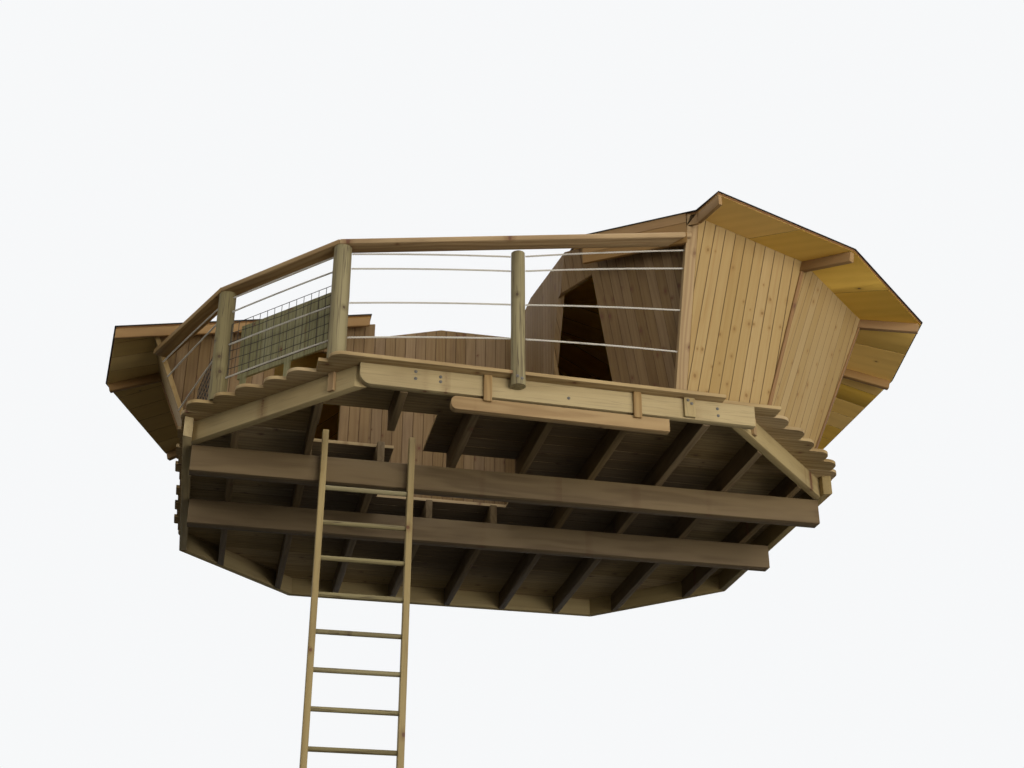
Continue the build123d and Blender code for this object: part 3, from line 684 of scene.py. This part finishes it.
class Piece:
    """One named piece of the scene, made of boards or bars that each keep their own grain."""

    def __init__(self, name: str) -> None:
        """Start an empty piece, whose name also seeds its random tones."""
        self.name = name
        self.mesh = bmesh.new()
        layers = self.mesh.verts.layers
        layers.float_vector.new("grain")
        layers.float.new("tone")
        layers.float.new("seed")
        self.dice = random.Random(f"{name}1")

    def add(self, part: BMesh, axes: Axes, centre: Vector | None = None) -> None:
        """Take in one board and free its mesh.

        Args:
            part: Mesh of the board, in its place; an empty one is passed over.
            axes: Directions of its grain.
            centre: Middle of the board; worked out from its box if it isn't given.
        """
        if not part.verts:
            part.free()
            return
        directions = (axes.along, axes.across, axes.through)
        if centre is None:
            middles = [sum(spread(part, direction)) / 2 for direction in directions]
        else:
            middles = [centre.dot(direction) for direction in directions]
        held = bpy.data.meshes.new("board")
        part.to_mesh(held)
        part.free()
        count = len(self.mesh.verts)
        self.mesh.from_mesh(held)
        bpy.data.meshes.remove(held)
        self.mesh.verts.ensure_lookup_table()
        layers = self.mesh.verts.layers
        grain = layers.float_vector["grain"]
        tone_layer, seed_layer = layers.float["tone"], layers.float["seed"]
        tone, seed = self.dice.random(), self.dice.random()
        for vertex in self.mesh.verts[count:]:
            vertex[grain] = Vector([vertex.co.dot(d) - m for d, m in zip(directions, middles)])
            vertex[tone_layer] = tone
            vertex[seed_layer] = seed

    def lay(self, solid: BMesh, axes: Axes, start: float, pitch: float, joint: float,
            groove: float, even: bool = False) -> None:
        """Cut a solid into boards that lie side by side, take them in and free the solid.

        Args:
            solid: The solid.
            axes: Directions of the boards.
            start: Where the first board starts, along the direction across them.
            pitch: Width of one board and one joint.
            joint: Gap between two boards.
            groove: Bevel along the edges.
            even: Whether the grain is centred on the full width of a board that is cut narrower.
        """
        count = max(1, math.ceil((spread(solid, axes.across)[1] - start) / pitch))
        for left in (start + k * pitch for k in range(count)):
            board = slice_between(solid, axes.across, left + joint / 2, left + pitch - joint / 2)
            soften(board, groove)
            self.add(board, axes, axes.across * (left + pitch / 2) if even else None)
        solid.free()

    def finish(self, finish: Finish, slot: Slot, *replaces: str, smooth: float = 30.0) -> None:
        """Turn the piece into an object that rides on the house.

        Args:
            finish: Finish of the piece.
            slot: Material slot of the record that it belongs to; not used.
            replaces: Frame solids that the piece stands for.
            smooth: Greatest angle that is shaded round, in degrees.
        """
        data = bpy.data.meshes.new(self.name)
        self.mesh.to_mesh(data)
        self.mesh.free()
        data.shade_smooth()
        data.set_sharp_from_angle(angle=math.radians(smooth))
        data.materials.append(finish.material())
        thing = show(self.name, data)
        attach(thing, "root")
        if replaces:
            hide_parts(*replaces)
        LOG.info("%s: %d faces", self.name, len(data.polygons))


def flat_axes(mesh: BMesh) -> Axes:
    """Board directions of a leaning slab: up the slope and level across it.

    Args:
        mesh: Solid of the wall or roof.

    Returns:
        Axes with the boards running up the slope.
    """
    face = max(mesh.faces, key=lambda f: f.calc_area())
    across = face.normal.cross(UP).normalized()
    return Axes(across.cross(face.normal).normalized(), across)


def long_axes(mesh: BMesh) -> Axes:
    """Directions of a straight timber.

    Args:
        mesh: Solid of the timber.

    Returns:
        Axes along its longest edge and level across it, or towards +X where it stands upright.
    """
    edge = max(mesh.edges, key=lambda e: e.calc_length())
    along = (edge.verts[1].co - edge.verts[0].co).normalized()
    across = along.cross(UP)
    return Axes(along, across.normalized() if across.length > 0.1 else EAST)


@dataclass
class BoardWall:
    """Wall of upright tongued boards, cut from one solid of the frame."""

    node: str
    wood: Softwood = WALL_WOOD
    pitch: float = 0.1
    joint: float = 0.0006
    groove: float = 0.0038

    def build(self) -> None:
        """Cut the wall into boards and dress it."""
        solid = solid_of(self.node)
        axes = flat_axes(solid)
        start = spread(solid, axes.across)[0]
        piece = Piece(f"{self.node}_boards")
        piece.lay(solid, axes, start, self.pitch, self.joint, self.groove, even=True)
        piece.finish(self.wood, Slot.WALLS, self.node)


@dataclass
class SawnTimber:
    """Beams, joists or planks that keep the frame's shape, with softened edges."""

    node: str
    wood: Softwood = BEAM_WOOD
    slot: Slot = Slot.TIMBER
    edge: float = 0.004

    def build(self) -> None:
        """Round the edges of each timber and dress it."""
        piece = Piece(f"{self.node}_timber")
        for part in islands_of(solid_of(self.node)):
            axes = long_axes(part)
            soften(part, self.edge, 2)
            piece.add(part, axes)
        piece.finish(self.wood, self.slot, self.node)


@dataclass
class Floor:
    """Floorboards, laid along the front edge, whose ends step round the cut corners."""

    nodes: tuple[str, ...] = ("floor_front", "floor_left_of_hatch", "floor_right_of_hatch",
                              "floor_left_of_trunk", "floor_right_of_trunk", "floor_rear")
    pitch: float = 0.181
    gap: float = 0.006
    edge: float = 0.005
    rows: int = 28
    cut_rows: int = 7
    front_rows: int = 4
    broad: float = 0.1
    small: float = 0.02
    clear_front: float = 1.45
    clear_side: float = 1.8

    def build(self) -> None:
        """Cut each strip of the floor into boards; the tapered front board is one of them."""
        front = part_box("floor_left_of_hatch")[0].y - self.front_rows * self.pitch
        for node in self.nodes:
            solid = solid_of(node)
            low, high = spread(solid, NORTH)
            piece = Piece(f"{node}_boards")
            clear = self.clear_front if node == "floor_front" else self.clear_side
            first = round(max(low - front, 0.0) / self.pitch)
            last = round((high - front) / self.pitch)
            for row in range(first, last):
                start = front + row * self.pitch if row else low - self.gap
                end = front + (row + 1) * self.pitch - self.gap / 2
                board = slice_between(solid, NORTH, start + self.gap / 2, end)
                self.round_ends(board, row, clear)
                soften(board, self.edge, 2)
                piece.add(board, Axes(EAST, NORTH))
            solid.free()
            piece.finish(FLOOR_WOOD, Slot.FLOOR, node)

    def round_ends(self, board: BMesh, row: int, clear: float) -> None:
        """Round a board's free ends: broadly on the side where the deck's outline steps in.

        Args:
            board: The board, which is changed.
            row: Its row, counted from the front edge.
            clear: Distance from the deck's middle line beyond which an end is free.
        """
        upright, beside = 0.02, 0.04
        middle = sum(spread(board, NORTH)) / 2
        step = -1.0 if row < self.cut_rows else 1.0 if row >= self.rows - self.cut_rows else 0.0
        for toward, radius in ((step, self.broad), (-step, self.small)):
            edges = [e for e in board.edges if abs(e.verts[0].co.z - e.verts[1].co.z) > upright
                     and abs(e.verts[0].co.x - DECK_MIDDLE[0]) > clear
                     and (e.verts[0].co.y - middle) * (toward or 1.0) > beside]
            round_edges(board, edges, radius if step else self.small, 6)


@dataclass
class Pole:
    """Peeled round post with a slight taper and soft bumps where branches were cut."""

    node: str
    sides: int = 32
    rings: int = 24
    taper: float = 0.004
    bump: float = 0.003
    knobs: int = 7
    knob_height: float = 0.05
    knob_angle: float = 0.35

    def build(self) -> None:
        """Build the post between the ends of its solid."""
        low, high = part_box(self.node)
        radius = (high.x - low.x) / 2
        height = high.z - low.z
        mesh = bmesh.new()
        bmesh.ops.create_cone(mesh, cap_ends=True, cap_tris=False, segments=self.sides,
                              radius1=radius, radius2=radius - self.taper, depth=height)
        uprights = [e for e in mesh.edges if abs(e.verts[0].co.z - e.verts[1].co.z) > height / 2]
        bmesh.ops.subdivide_edges(mesh, edges=uprights, cuts=self.rings)
        dice = random.Random(self.node)
        knobs = [(dice.uniform(-height / 2, height / 2), dice.uniform(0.0, math.tau))
                 for _ in range(self.knobs)]
        for vertex in mesh.verts:
            angle = math.atan2(vertex.co.y, vertex.co.x)
            swell = 0.4 * math.sin(vertex.co.z * 5.0 + angle * 2.0) - 0.6
            for level, bearing in knobs:
                rise = (vertex.co.z - level) / self.knob_height
                turn = math.remainder(angle - bearing, math.tau) / self.knob_angle
                swell += 0.9 * math.exp(-rise ** 2 - turn ** 2)
            pull = 1.0 + min(swell, 0.0) * self.bump / radius
            vertex.co.x *= pull
            vertex.co.y *= pull
        bmesh.ops.translate(mesh, verts=mesh.verts, vec=(low + high) / 2)
        piece = Piece(f"{self.node}_pole")
        piece.add(mesh, Axes(UP, EAST))
        piece.finish(POLE_WOOD, Slot.POLES, self.node, smooth=50.0)


@dataclass
class RoofPanels:
    """Boarding of the roof: each facet is cut into panels that run up the slope."""

    wide: float = 1.22
    narrow: float = 0.26
    joint: float = 0.004
    edge: float = 0.002

    def build(self) -> None:
        """Cut each facet into panels, wide ones at the front right, and dress them."""
        piece = Piece("roof_panels")
        for facet in self.facets():
            axes = flat_axes(facet)
            low, high = spread(facet, axes.across)
            middle = middle_of(facet)
            pitch = self.wide if middle.y < 0.0 < middle.x else self.narrow
            start = (low + high) / 2 - pitch * math.ceil((high - low) / 2 / pitch)
            piece.lay(facet, axes, start, pitch, self.joint, self.edge)
        piece.finish(BOUNCE_LIT_PLY_WOOD, Slot.ROOF, "roof_boards")

    def facets(self) -> list[BMesh]:
        """Build each facet of the roof from the upper faces of its boarding.

        Returns:
            One flat slab for each direction in which the roof slopes.
        """
        whole = solid_of("roof_boards")
        normals: list[Vector] = []
        for face in whole.faces:
            up = face.normal * math.copysign(1.0, face.normal.z)
            if up.z > 0.5 and all(up.dot(known) < PARALLEL for known in normals):
                normals.append(up)
        slabs = []
        for normal in normals:
            part = whole.copy()
            levels = {f: f.calc_center_median().dot(normal) for f in part.faces
                      if abs(f.normal.dot(normal)) > PARALLEL}
            low, high = min(levels.values()), max(levels.values())
            other = [f for f in part.faces if levels.get(f, low) < (low + high) / 2]
            bmesh.ops.delete(part, geom=other, context="FACES")
            fresh = bmesh.ops.extrude_face_region(part, geom=part.faces[:])["geom"]
            moved = [v for v in fresh if isinstance(v, BMVert)]
            bmesh.ops.translate(part, verts=moved, vec=(low - high) * normal)
            bmesh.ops.recalc_face_normals(part, faces=part.faces)
            slabs.append(part)
        whole.free()
        return slabs


@dataclass
class TwistedRopes:
    """Three-strand ropes of the railing, each between the ends of its own solid."""

    node: str = "rail_ropes"
    strands: int = 3
    lay: float = 0.066
    steps: int = 8
    sides: int = 5
    sag: float = 0.006

    def build(self) -> None:
        """Twist each rope and hang it between its ends."""
        piece = Piece("railing_ropes")
        for bar in islands_of(solid_of(self.node)):
            axes = long_axes(bar)
            low, high = spread(bar, axes.along)
            left, right = spread(bar, axes.across)
            middle = middle_of(bar)
            bar.free()
            rope = self.twist(high - low, (right - left) / 2)
            stand(rope, axes, middle + axes.along * (low - middle.dot(axes.along)))
            piece.add(rope, axes)
        piece.finish(ROPE_WHITE, Slot.ROPE, self.node, smooth=60.0)

    def twist(self, length: float, radius: float) -> BMesh:
        """Lay the strands along +X.

        Args:
            length: Length of the rope.
            radius: Radius of the rope.

        Returns:
            The rope from the origin along +X, with a slight sag.
        """
        rope = bmesh.new()
        strand = radius * 0.5
        turns = length / self.lay
        count = max(2, round(turns * self.steps))
        upright = Matrix.Rotation(math.radians(90.0), 3, "Y")
        for k in range(self.strands):
            ring = bmesh.ops.create_circle(rope, segments=self.sides, radius=strand,
                                           cap_ends=True)["verts"]
            bmesh.ops.rotate(rope, verts=ring, cent=ORIGIN, matrix=upright)
            bmesh.ops.translate(rope, verts=ring, vec=(0.0, radius - strand, 0.0))
            turn = Matrix.Rotation(k * math.tau / self.strands, 3, "X")
            bmesh.ops.rotate(rope, verts=ring, cent=ORIGIN, matrix=turn)
            faces = list({f for v in ring for f in v.link_faces})
            edges = list({e for v in ring for e in v.link_edges})
            bmesh.ops.spin(rope, geom=[*ring, *edges, *faces], cent=ORIGIN, axis=EAST,
                           dvec=(length / count, 0.0, 0.0), angle=turns * math.tau, steps=count,
                           use_duplicate=False)
        bmesh.ops.recalc_face_normals(rope, faces=rope.faces)
        for vertex in rope.verts:
            share = vertex.co.x / length
            vertex.co.z -= 4.0 * self.sag * share * (1.0 - share) * length
        return rope


@dataclass
class CordNet:
    """Square net of thin cord that hangs a little slack from its upper edge."""

    node: str
    mesh_size: float = 0.08
    cord: float = 0.007
    slack: float = 0.018
    rim: float = 0.98
    stray: tuple[float, float] = (0.004, 0.003)

    def build(self) -> None:
        """Knot the net in the place of its solid."""
        solid = solid_of(self.node)
        axes = Axes(long_axes(solid).along, UP)
        wide, tall, deep = (spread(solid, d) for d in (axes.along, UP, axes.through))
        solid.free()
        centre = (axes.along * sum(wide) + UP * sum(tall) + axes.through * sum(deep)) / 2
        width, height = wide[1] - wide[0] - self.cord, tall[1] - tall[0] - self.cord
        net = bmesh.new()
        bmesh.ops.create_grid(net, x_segments=max(2, round(width / self.mesh_size)),
                              y_segments=max(2, round(height / self.mesh_size)), size=0.5)
        bmesh.ops.scale(net, vec=(width, height, 1.0), verts=net.verts)
        dice = random.Random(self.node)
        for vertex in net.verts:
            u, v = vertex.co.x / width * 2.0, vertex.co.y / height + 0.5
            if abs(u) < self.rim and v < self.rim:
                vertex.co.y -= self.slack * (1.0 - u * u) * (0.35 + 0.65 * v) * min(1.0, v * 6.0)
                vertex.co.x += dice.uniform(-self.stray[0], self.stray[0])
                vertex.co.y += dice.uniform(-self.stray[1], self.stray[1])
        bmesh.ops.wireframe(net, faces=net.faces, thickness=self.cord, offset=0.0, use_replace=True,
                            use_boundary=True, use_even_offset=True, use_crease=False,
                            crease_weight=0.0, use_relative_offset=False, material_offset=0)
        stand(net, axes, centre)
        piece = Piece(f"{self.node}_cords")
        piece.add(net, axes)
        piece.finish(NET_DARK, Slot.NET, self.node)


@dataclass
class CornerBattens:
    """Narrow battens that cover the joints between the outer walls."""

    width: float = 0.038
    thick: float = 0.016
    edge: float = 0.003
    short: float = 0.02
    touching: float = 0.03

    def build(self, walls: tuple[str, ...]) -> None:
        """Nail a batten along each corner between neighbouring walls.

        Args:
            walls: Nodes of the outer walls, in order round the house.
        """
        piece = Piece("corner_battens")
        sides = [side_of(node, lambda n: 1.0 if n.z < 0.0 else 0.1) for node in walls]
        for side, other in zip(sides, sides[1:]):
            shared = [p for p in side.corners
                      if min((p - q).length for q in other.corners) < self.touching]
            foot, head = min(shared, key=lambda p: p.z), max(shared, key=lambda p: p.z)
            out = (side.normal + other.normal).normalized()
            along = (head - foot).normalized()
            axes = Axes(along, out.cross(along).normalized())
            batten = block((head - foot).length - self.short, self.width, self.thick)
            soften(batten, self.edge)
            stand(batten, axes, (foot + head) / 2 + out * (self.thick * 0.3))
            piece.add(batten, axes)
        piece.finish(SHADED_BATTEN_WOOD, Slot.WALLS)


@dataclass
class InnerCorner:
    """Boards that close the corner between the right inner wall and the leaning gable."""

    wall: str = "inner_right_wall"
    gable: str = "right_gable_head"
    pitch: float = 0.1
    gap: float = 0.004
    clear: float = 0.002
    edge: float = 0.002
    reach: float = 1.0
    far: float = 9.0

    def build(self) -> None:
        """Carry the inner wall forward until it meets the gable, under the roof."""
        low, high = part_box(self.wall)
        size = high - low
        slab = block(size.x, self.reach, size.z)
        middle = (low.x + size.x / 2, low.y - self.reach / 2 - self.clear, low.z + size.z / 2)
        bmesh.ops.translate(slab, verts=slab.verts, vec=middle)
        head = side_of(self.gable, lambda n: 1.0 if n.y > 0.0 else 0.1)
        level = head.centre.dot(head.normal)
        slab = slice_between(slab, head.normal, level + self.clear, level + self.far)
        for facet in RoofPanels().facets():
            normal = max(facet.faces, key=lambda f: f.calc_area() * f.normal.z).normal.copy()
            under = spread(facet, normal)[0]
            facet.free()
            slab = slice_between(slab, normal, under - self.far, under - self.clear)
        front, back = spread(slab, NORTH)
        piece = Piece("inner_corner_boards")
        while back > front:
            board = slice_between(slab, NORTH, back - self.pitch + self.gap, back)
            soften(board, self.edge)
            piece.add(board, Axes(UP, NORTH))
            back -= self.pitch
        slab.free()
        piece.finish(SHADED_GABLE_WOOD, Slot.WALLS)


@dataclass
class VergeLining:
    """Lining boards on the face of the right verge, from the roof down to the handrail."""

    lifts: tuple[float, ...] = (0.026, -0.066, -0.158)
    proud: float = 0.006
    post_face: float = 1.388
    edge: float = 0.002

    def build(self) -> None:
        """Repeat the verge board, a little proud of it and ending at the cabin post."""
        piece = Piece("verge_lining")
        for lift in self.lifts:
            board = solid_of("right_verge_board")
            axes = long_axes(board)
            out = axes.across * math.copysign(self.proud, -axes.across.x)
            bmesh.ops.translate(board, verts=board.verts, vec=out + UP * lift)
            board = slice_between(board, EAST, 0.0, self.post_face)
            soften(board, self.edge)
            piece.add(board, axes)
        piece.finish(VERGE_WOOD, Slot.TIMBER)


@dataclass
class Cleats:
    """Short upright blocks on the faces of the two front corner beams, under the board ends."""

    width: float = 0.06
    thick: float = 0.028
    edge: float = 0.003
    sunk: float = 0.001
    drop: float = 0.002
    spots: tuple[tuple[str, float, float], ...] = (
        ("left_corner_beam", -1.0, 0.16), ("right_corner_beam", 1.0, 0.14))

    def build(self) -> None:
        """Fix one block near the front end of each corner beam."""
        piece = Piece("corner_cleats")
        for node, toward, back in self.spots:
            low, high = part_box(node)
            side = side_of(node, lambda n: toward * n.x - n.y)
            along = UP.cross(side.normal).normalized()
            tall = (high.z - low.z) * 0.9
            cleat = block(self.width, self.thick, tall)
            soften(cleat, self.edge)
            place = side.centre + along * ((low.y + back - side.centre.y) / along.y)
            place += side.normal * (self.thick / 2 - self.sunk)
            place.z = high.z - tall / 2 - self.drop
            stand(cleat, Axes(along, side.normal), place)
            piece.add(cleat, Axes(UP, along))
        piece.finish(RAIL_WOOD, Slot.TIMBER)


@dataclass
class Bolts:
    """Dome-headed bolts with washers on the front of the beam, its block and the middle post."""

    radius: float = 0.009
    dome: float = 0.55
    washer: float = 0.013
    washer_thick: float = 0.003
    sunk: float = 0.003
    beam_spots: tuple[tuple[float, float], ...] = (
        (-0.646, 0.030), (-0.646, 0.088), (-0.457, 0.052), (-0.456, 0.092), (0.542, 0.110),
        (1.755, 0.058), (1.758, 0.118),
    )
    block_spots: tuple[tuple[float, float], ...] = ((-0.014, 0.025), (0.014, 0.052))
    post_spots: tuple[tuple[float, float], ...] = ((-0.016, 0.062), (0.018, 0.046))

    def places(self) -> list[Vector]:
        """Work out where the bolts go, from the beam, the block and the post that they hold.

        Returns:
            Centres of the bolt heads.
        """
        beam = side_of("front_rim_beam", lambda n: -n.y)
        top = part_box("front_rim_beam")[1].z
        slope = beam.normal.x / beam.normal.y
        found = [Vector((x, beam.centre.y - slope * (x - beam.centre.x), top - drop))
                 for x, drop in self.beam_spots]
        low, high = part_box("cabin_post_block")
        found += [Vector(((low.x + high.x) / 2 + x, low.y, top - drop))
                  for x, drop in self.block_spots]
        low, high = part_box("middle_post")
        found += [Vector(((low.x + high.x) / 2 + x, low.y + self.sunk, low.z + lift))
                  for x, lift in self.post_spots]
        return found

    def build(self) -> None:
        """Set each bolt with its washer."""
        piece = Piece("frame_bolts")
        forward = Matrix.Rotation(math.radians(90.0), 3, "X")
        for spot in self.places():
            bolt = bmesh.new()
            disc = bmesh.ops.create_cone(bolt, cap_ends=True, segments=20, radius1=self.washer,
                                         radius2=self.washer, depth=self.washer_thick)["verts"]
            bmesh.ops.translate(bolt, verts=disc, vec=UP * (self.washer_thick / 2))
            head = bmesh.ops.create_uvsphere(bolt, u_segments=16, v_segments=8,
                                             radius=self.radius)["verts"]
            bmesh.ops.scale(bolt, vec=(1.0, 1.0, self.dome), verts=head)
            bmesh.ops.translate(bolt, verts=head, vec=UP * self.washer_thick)
            bmesh.ops.rotate(bolt, verts=bolt.verts, cent=ORIGIN, matrix=forward)
            bmesh.ops.translate(bolt, verts=bolt.verts, vec=spot)
            piece.add(bolt, Axes(EAST, UP))
        piece.finish(Steel(), Slot.TIMBER, smooth=40.0)


@dataclass
class Studio:
    """Camera, pale floor and soft light."""

    focal_pixels: float = 1417.0
    image_width: float = 1024.0
    sensor: float = 36.0
    camera_at: tuple[float, float, float] = (-1.97, -10.848, -4.632)
    heading: float = 12.46
    pitch: float = 26.94
    roll: float = -0.07
    aim: tuple[float, float, float] = (0.4, 1.0, 0.6)
    floor_half: float = 60.0
    floor_drop: float = 0.002
    lamps: tuple[tuple[str, tuple[float, float, float], float, float], ...] = (
        ("key_lamp", (4.0, -13.0, -0.8), 6.0, 1000.0),
        ("fill_lamp", (-11.0, -8.0, 3.0), 7.0, 330.0),
        ("top_lamp", (1.0, -3.0, 13.0), 7.0, 800.0),
        ("low_lamp", (8.0, -9.0, -3.5), 5.0, 430.0),
        ("back_lamp", (4.0, 13.0, 4.0), 7.0, 600.0),
    )

    def build(self) -> None:
        """Place the camera, the floor, the lamps and the backdrop."""
        self.camera()
        self.floor()
        self.light()
        self.world()

    def camera(self) -> None:
        """Set the camera at the angle of the photograph."""
        data = bpy.data.cameras.new("camera")
        data.sensor_width = self.sensor
        data.lens = self.focal_pixels / self.image_width * self.sensor
        data.clip_end = 200.0
        thing = show("camera", data)
        thing.location = self.camera_at
        turns = (90.0 + self.pitch, self.roll, -self.heading)
        thing.rotation_euler = [math.radians(turn) for turn in turns]
        bpy.context.scene.camera = thing

    def floor(self) -> None:
        """Lay a pale floor under the foot of the ladder."""
        mesh = bmesh.new()
        bmesh.ops.create_grid(mesh, x_segments=1, y_segments=1, size=self.floor_half)
        bmesh.ops.translate(mesh, verts=mesh.verts, vec=UP * (CAD_BOX[0].z - self.floor_drop))
        data = bpy.data.meshes.new("studio_floor")
        mesh.to_mesh(data)
        mesh.free()
        material, g = new_material("studio_floor")
        seen = g.ray("Camera")
        tone = g.mix(seen, (0.10, 0.10, 0.095), (0.3, 0.3, 0.3))
        dull = g.node("ShaderNodeBsdfDiffuse", None, {"Color": tone})
        even = g.node("ShaderNodeEmission", None, {"Color": (0.86, 0.87, 0.88), "Strength": 1.0})
        both = g.node("ShaderNodeMixShader", None, {0: seen * 0.8, 1: dull, 2: even})
        g.node("ShaderNodeOutputMaterial", None, {"Surface": both})
        data.materials.append(material)
        show("studio_floor", data)

    def light(self) -> None:
        """Hang broad lamps all round, and a low one for the underside."""
        for name, place, size, power in self.lamps:
            data = bpy.data.lights.new(name, "AREA")
            data.size = size
            data.energy = power
            thing = show(name, data)
            thing.location = place
            toward = Vector(self.aim) - thing.location
            thing.rotation_euler = toward.to_track_quat("-Z", "Y").to_euler()

    def world(self) -> None:
        """Give even light, and a pale backdrop to what the camera and shiny parts see."""
        world = bpy.data.worlds.new("studio")
        world.use_nodes = True
        bpy.context.scene.world = world
        g = Graph(world.node_tree)
        share = g.node("ShaderNodeMath", {"operation": "ADD", "use_clamp": True},
                       {0: g.ray("Camera") + g.ray("Glossy"), 1: g.ray("Transmission")})
        level = g.between(g.axis(g.place("Generated"), 2), -0.35, 0.35)
        plain = g.node("ShaderNodeBackground", None,
                       {"Color": (0.96, 0.98, 1.0), "Strength": 0.09 + level * 0.33})
        shown = g.node("ShaderNodeBackground", None, {"Color": (0.93, 0.94, 0.95), "Strength": 1.0})
        both = g.node("ShaderNodeMixShader", None, {0: share, 1: plain, 2: shown})
        g.node("ShaderNodeOutputWorld", None, {"Surface": both})


@dataclass
class TreeHouse:
    """The whole house, built in order from the floor up."""

    walls: tuple[str, ...] = (
        "front_wall", "front_right_wall", "right_narrow_wall", "right_wall", "right_rear_wall",
        "rear_right_wall", "rear_wall", "rear_left_wall", "left_rear_wall", "left_wall",
    )
    aged: tuple[str, ...] = ("front_right_wall", "right_wall", "rear_wall", "left_rear_wall")
    gables: tuple[str, ...] = (
        "right_gable_beside_post", "right_gable_beside_trunk", "right_gable_head",
        "left_gable_beside_post", "left_gable_beside_trunk", "left_gable_head",
        "inner_right_wall", "inner_rear_wall", "inner_left_wall",
    )
    beams: tuple[str, ...] = (
        "right_corner_beam", "right_rim_beam", "rear_corner_beams", "rear_rim_beam",
        "left_rim_beam", "left_corner_beam", "front_rim_beam", "cabin_post_block",
        "ladder_left_stile", "ladder_right_stile",
    )
    # These parts take the darker rail wood as painted shade.
    shaded: tuple[str, ...] = ("lower_front_beam", "beam_hangers", "cabin_post")
    verges: tuple[str, ...] = (
        "front_verge_board", "right_verge_board", "left_verge_board", "hip_rafters")
    bearers: tuple[str, ...] = ("front_trunk_beam", "rear_trunk_beam", "joists")
    rails: tuple[str, ...] = ("left_handrail", "corner_handrail", "front_handrail")
    poles: tuple[str, ...] = ("corner_post", "left_post", "middle_post")
    nets: tuple[str, ...] = ("corner_net", "left_net")

    def build(self) -> None:
        """Build every sub-assembly."""
        Floor().build()
        for nodes, wood in ((self.beams, BEAM_WOOD), (self.shaded, RAIL_WOOD),
                            (self.verges, VERGE_WOOD), (self.bearers, SHADED_JOIST_WOOD)):
            for node in nodes:
                SawnTimber(node, wood).build()
        for node in self.rails:
            SawnTimber(node, RAIL_WOOD, edge=0.01).build()
        SawnTimber("ladder_rungs", POLE_WOOD, Slot.POLES, 0.003).build()
        BoardWall("corner_screen", SCREEN_WOOD, 0.12).build()
        for node in self.poles:
            Pole(node).build()
        for node in self.walls:
            BoardWall(node, AGED_WALL if node in self.aged else WALL_WOOD).build()
        for node in self.gables:
            BoardWall(node, SHADED_GABLE_WOOD).build()
        RoofPanels().build()
        TwistedRopes().build()
        for node in self.nets:
            CordNet(node).build()
        CornerBattens().build(self.walls)
        for part in (InnerCorner(), VergeLining(), Cleats(), Bolts()):
            part.build()
        self.dress("roof_skin", Roofing())

    def dress(self, node: str, finish: Finish) -> None:
        """Give a frame solid its finish.

        Args:
            node: Name of the solid in the frame.
            finish: Finish that it takes.
        """
        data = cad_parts[node].data
        data.materials.clear()
        data.materials.append(finish.material())
        LOG.info("%s: %s", node, finish.name)


def main() -> None:
    """Build the house and the studio, and report each piece."""
    logging.basicConfig(level=logging.INFO, format="%(name)s %(message)s")
    TreeHouse().build()
    Studio().build()
    bpy.context.scene.view_settings.view_transform = "Standard"


if __name__ == "__main__":
    main()
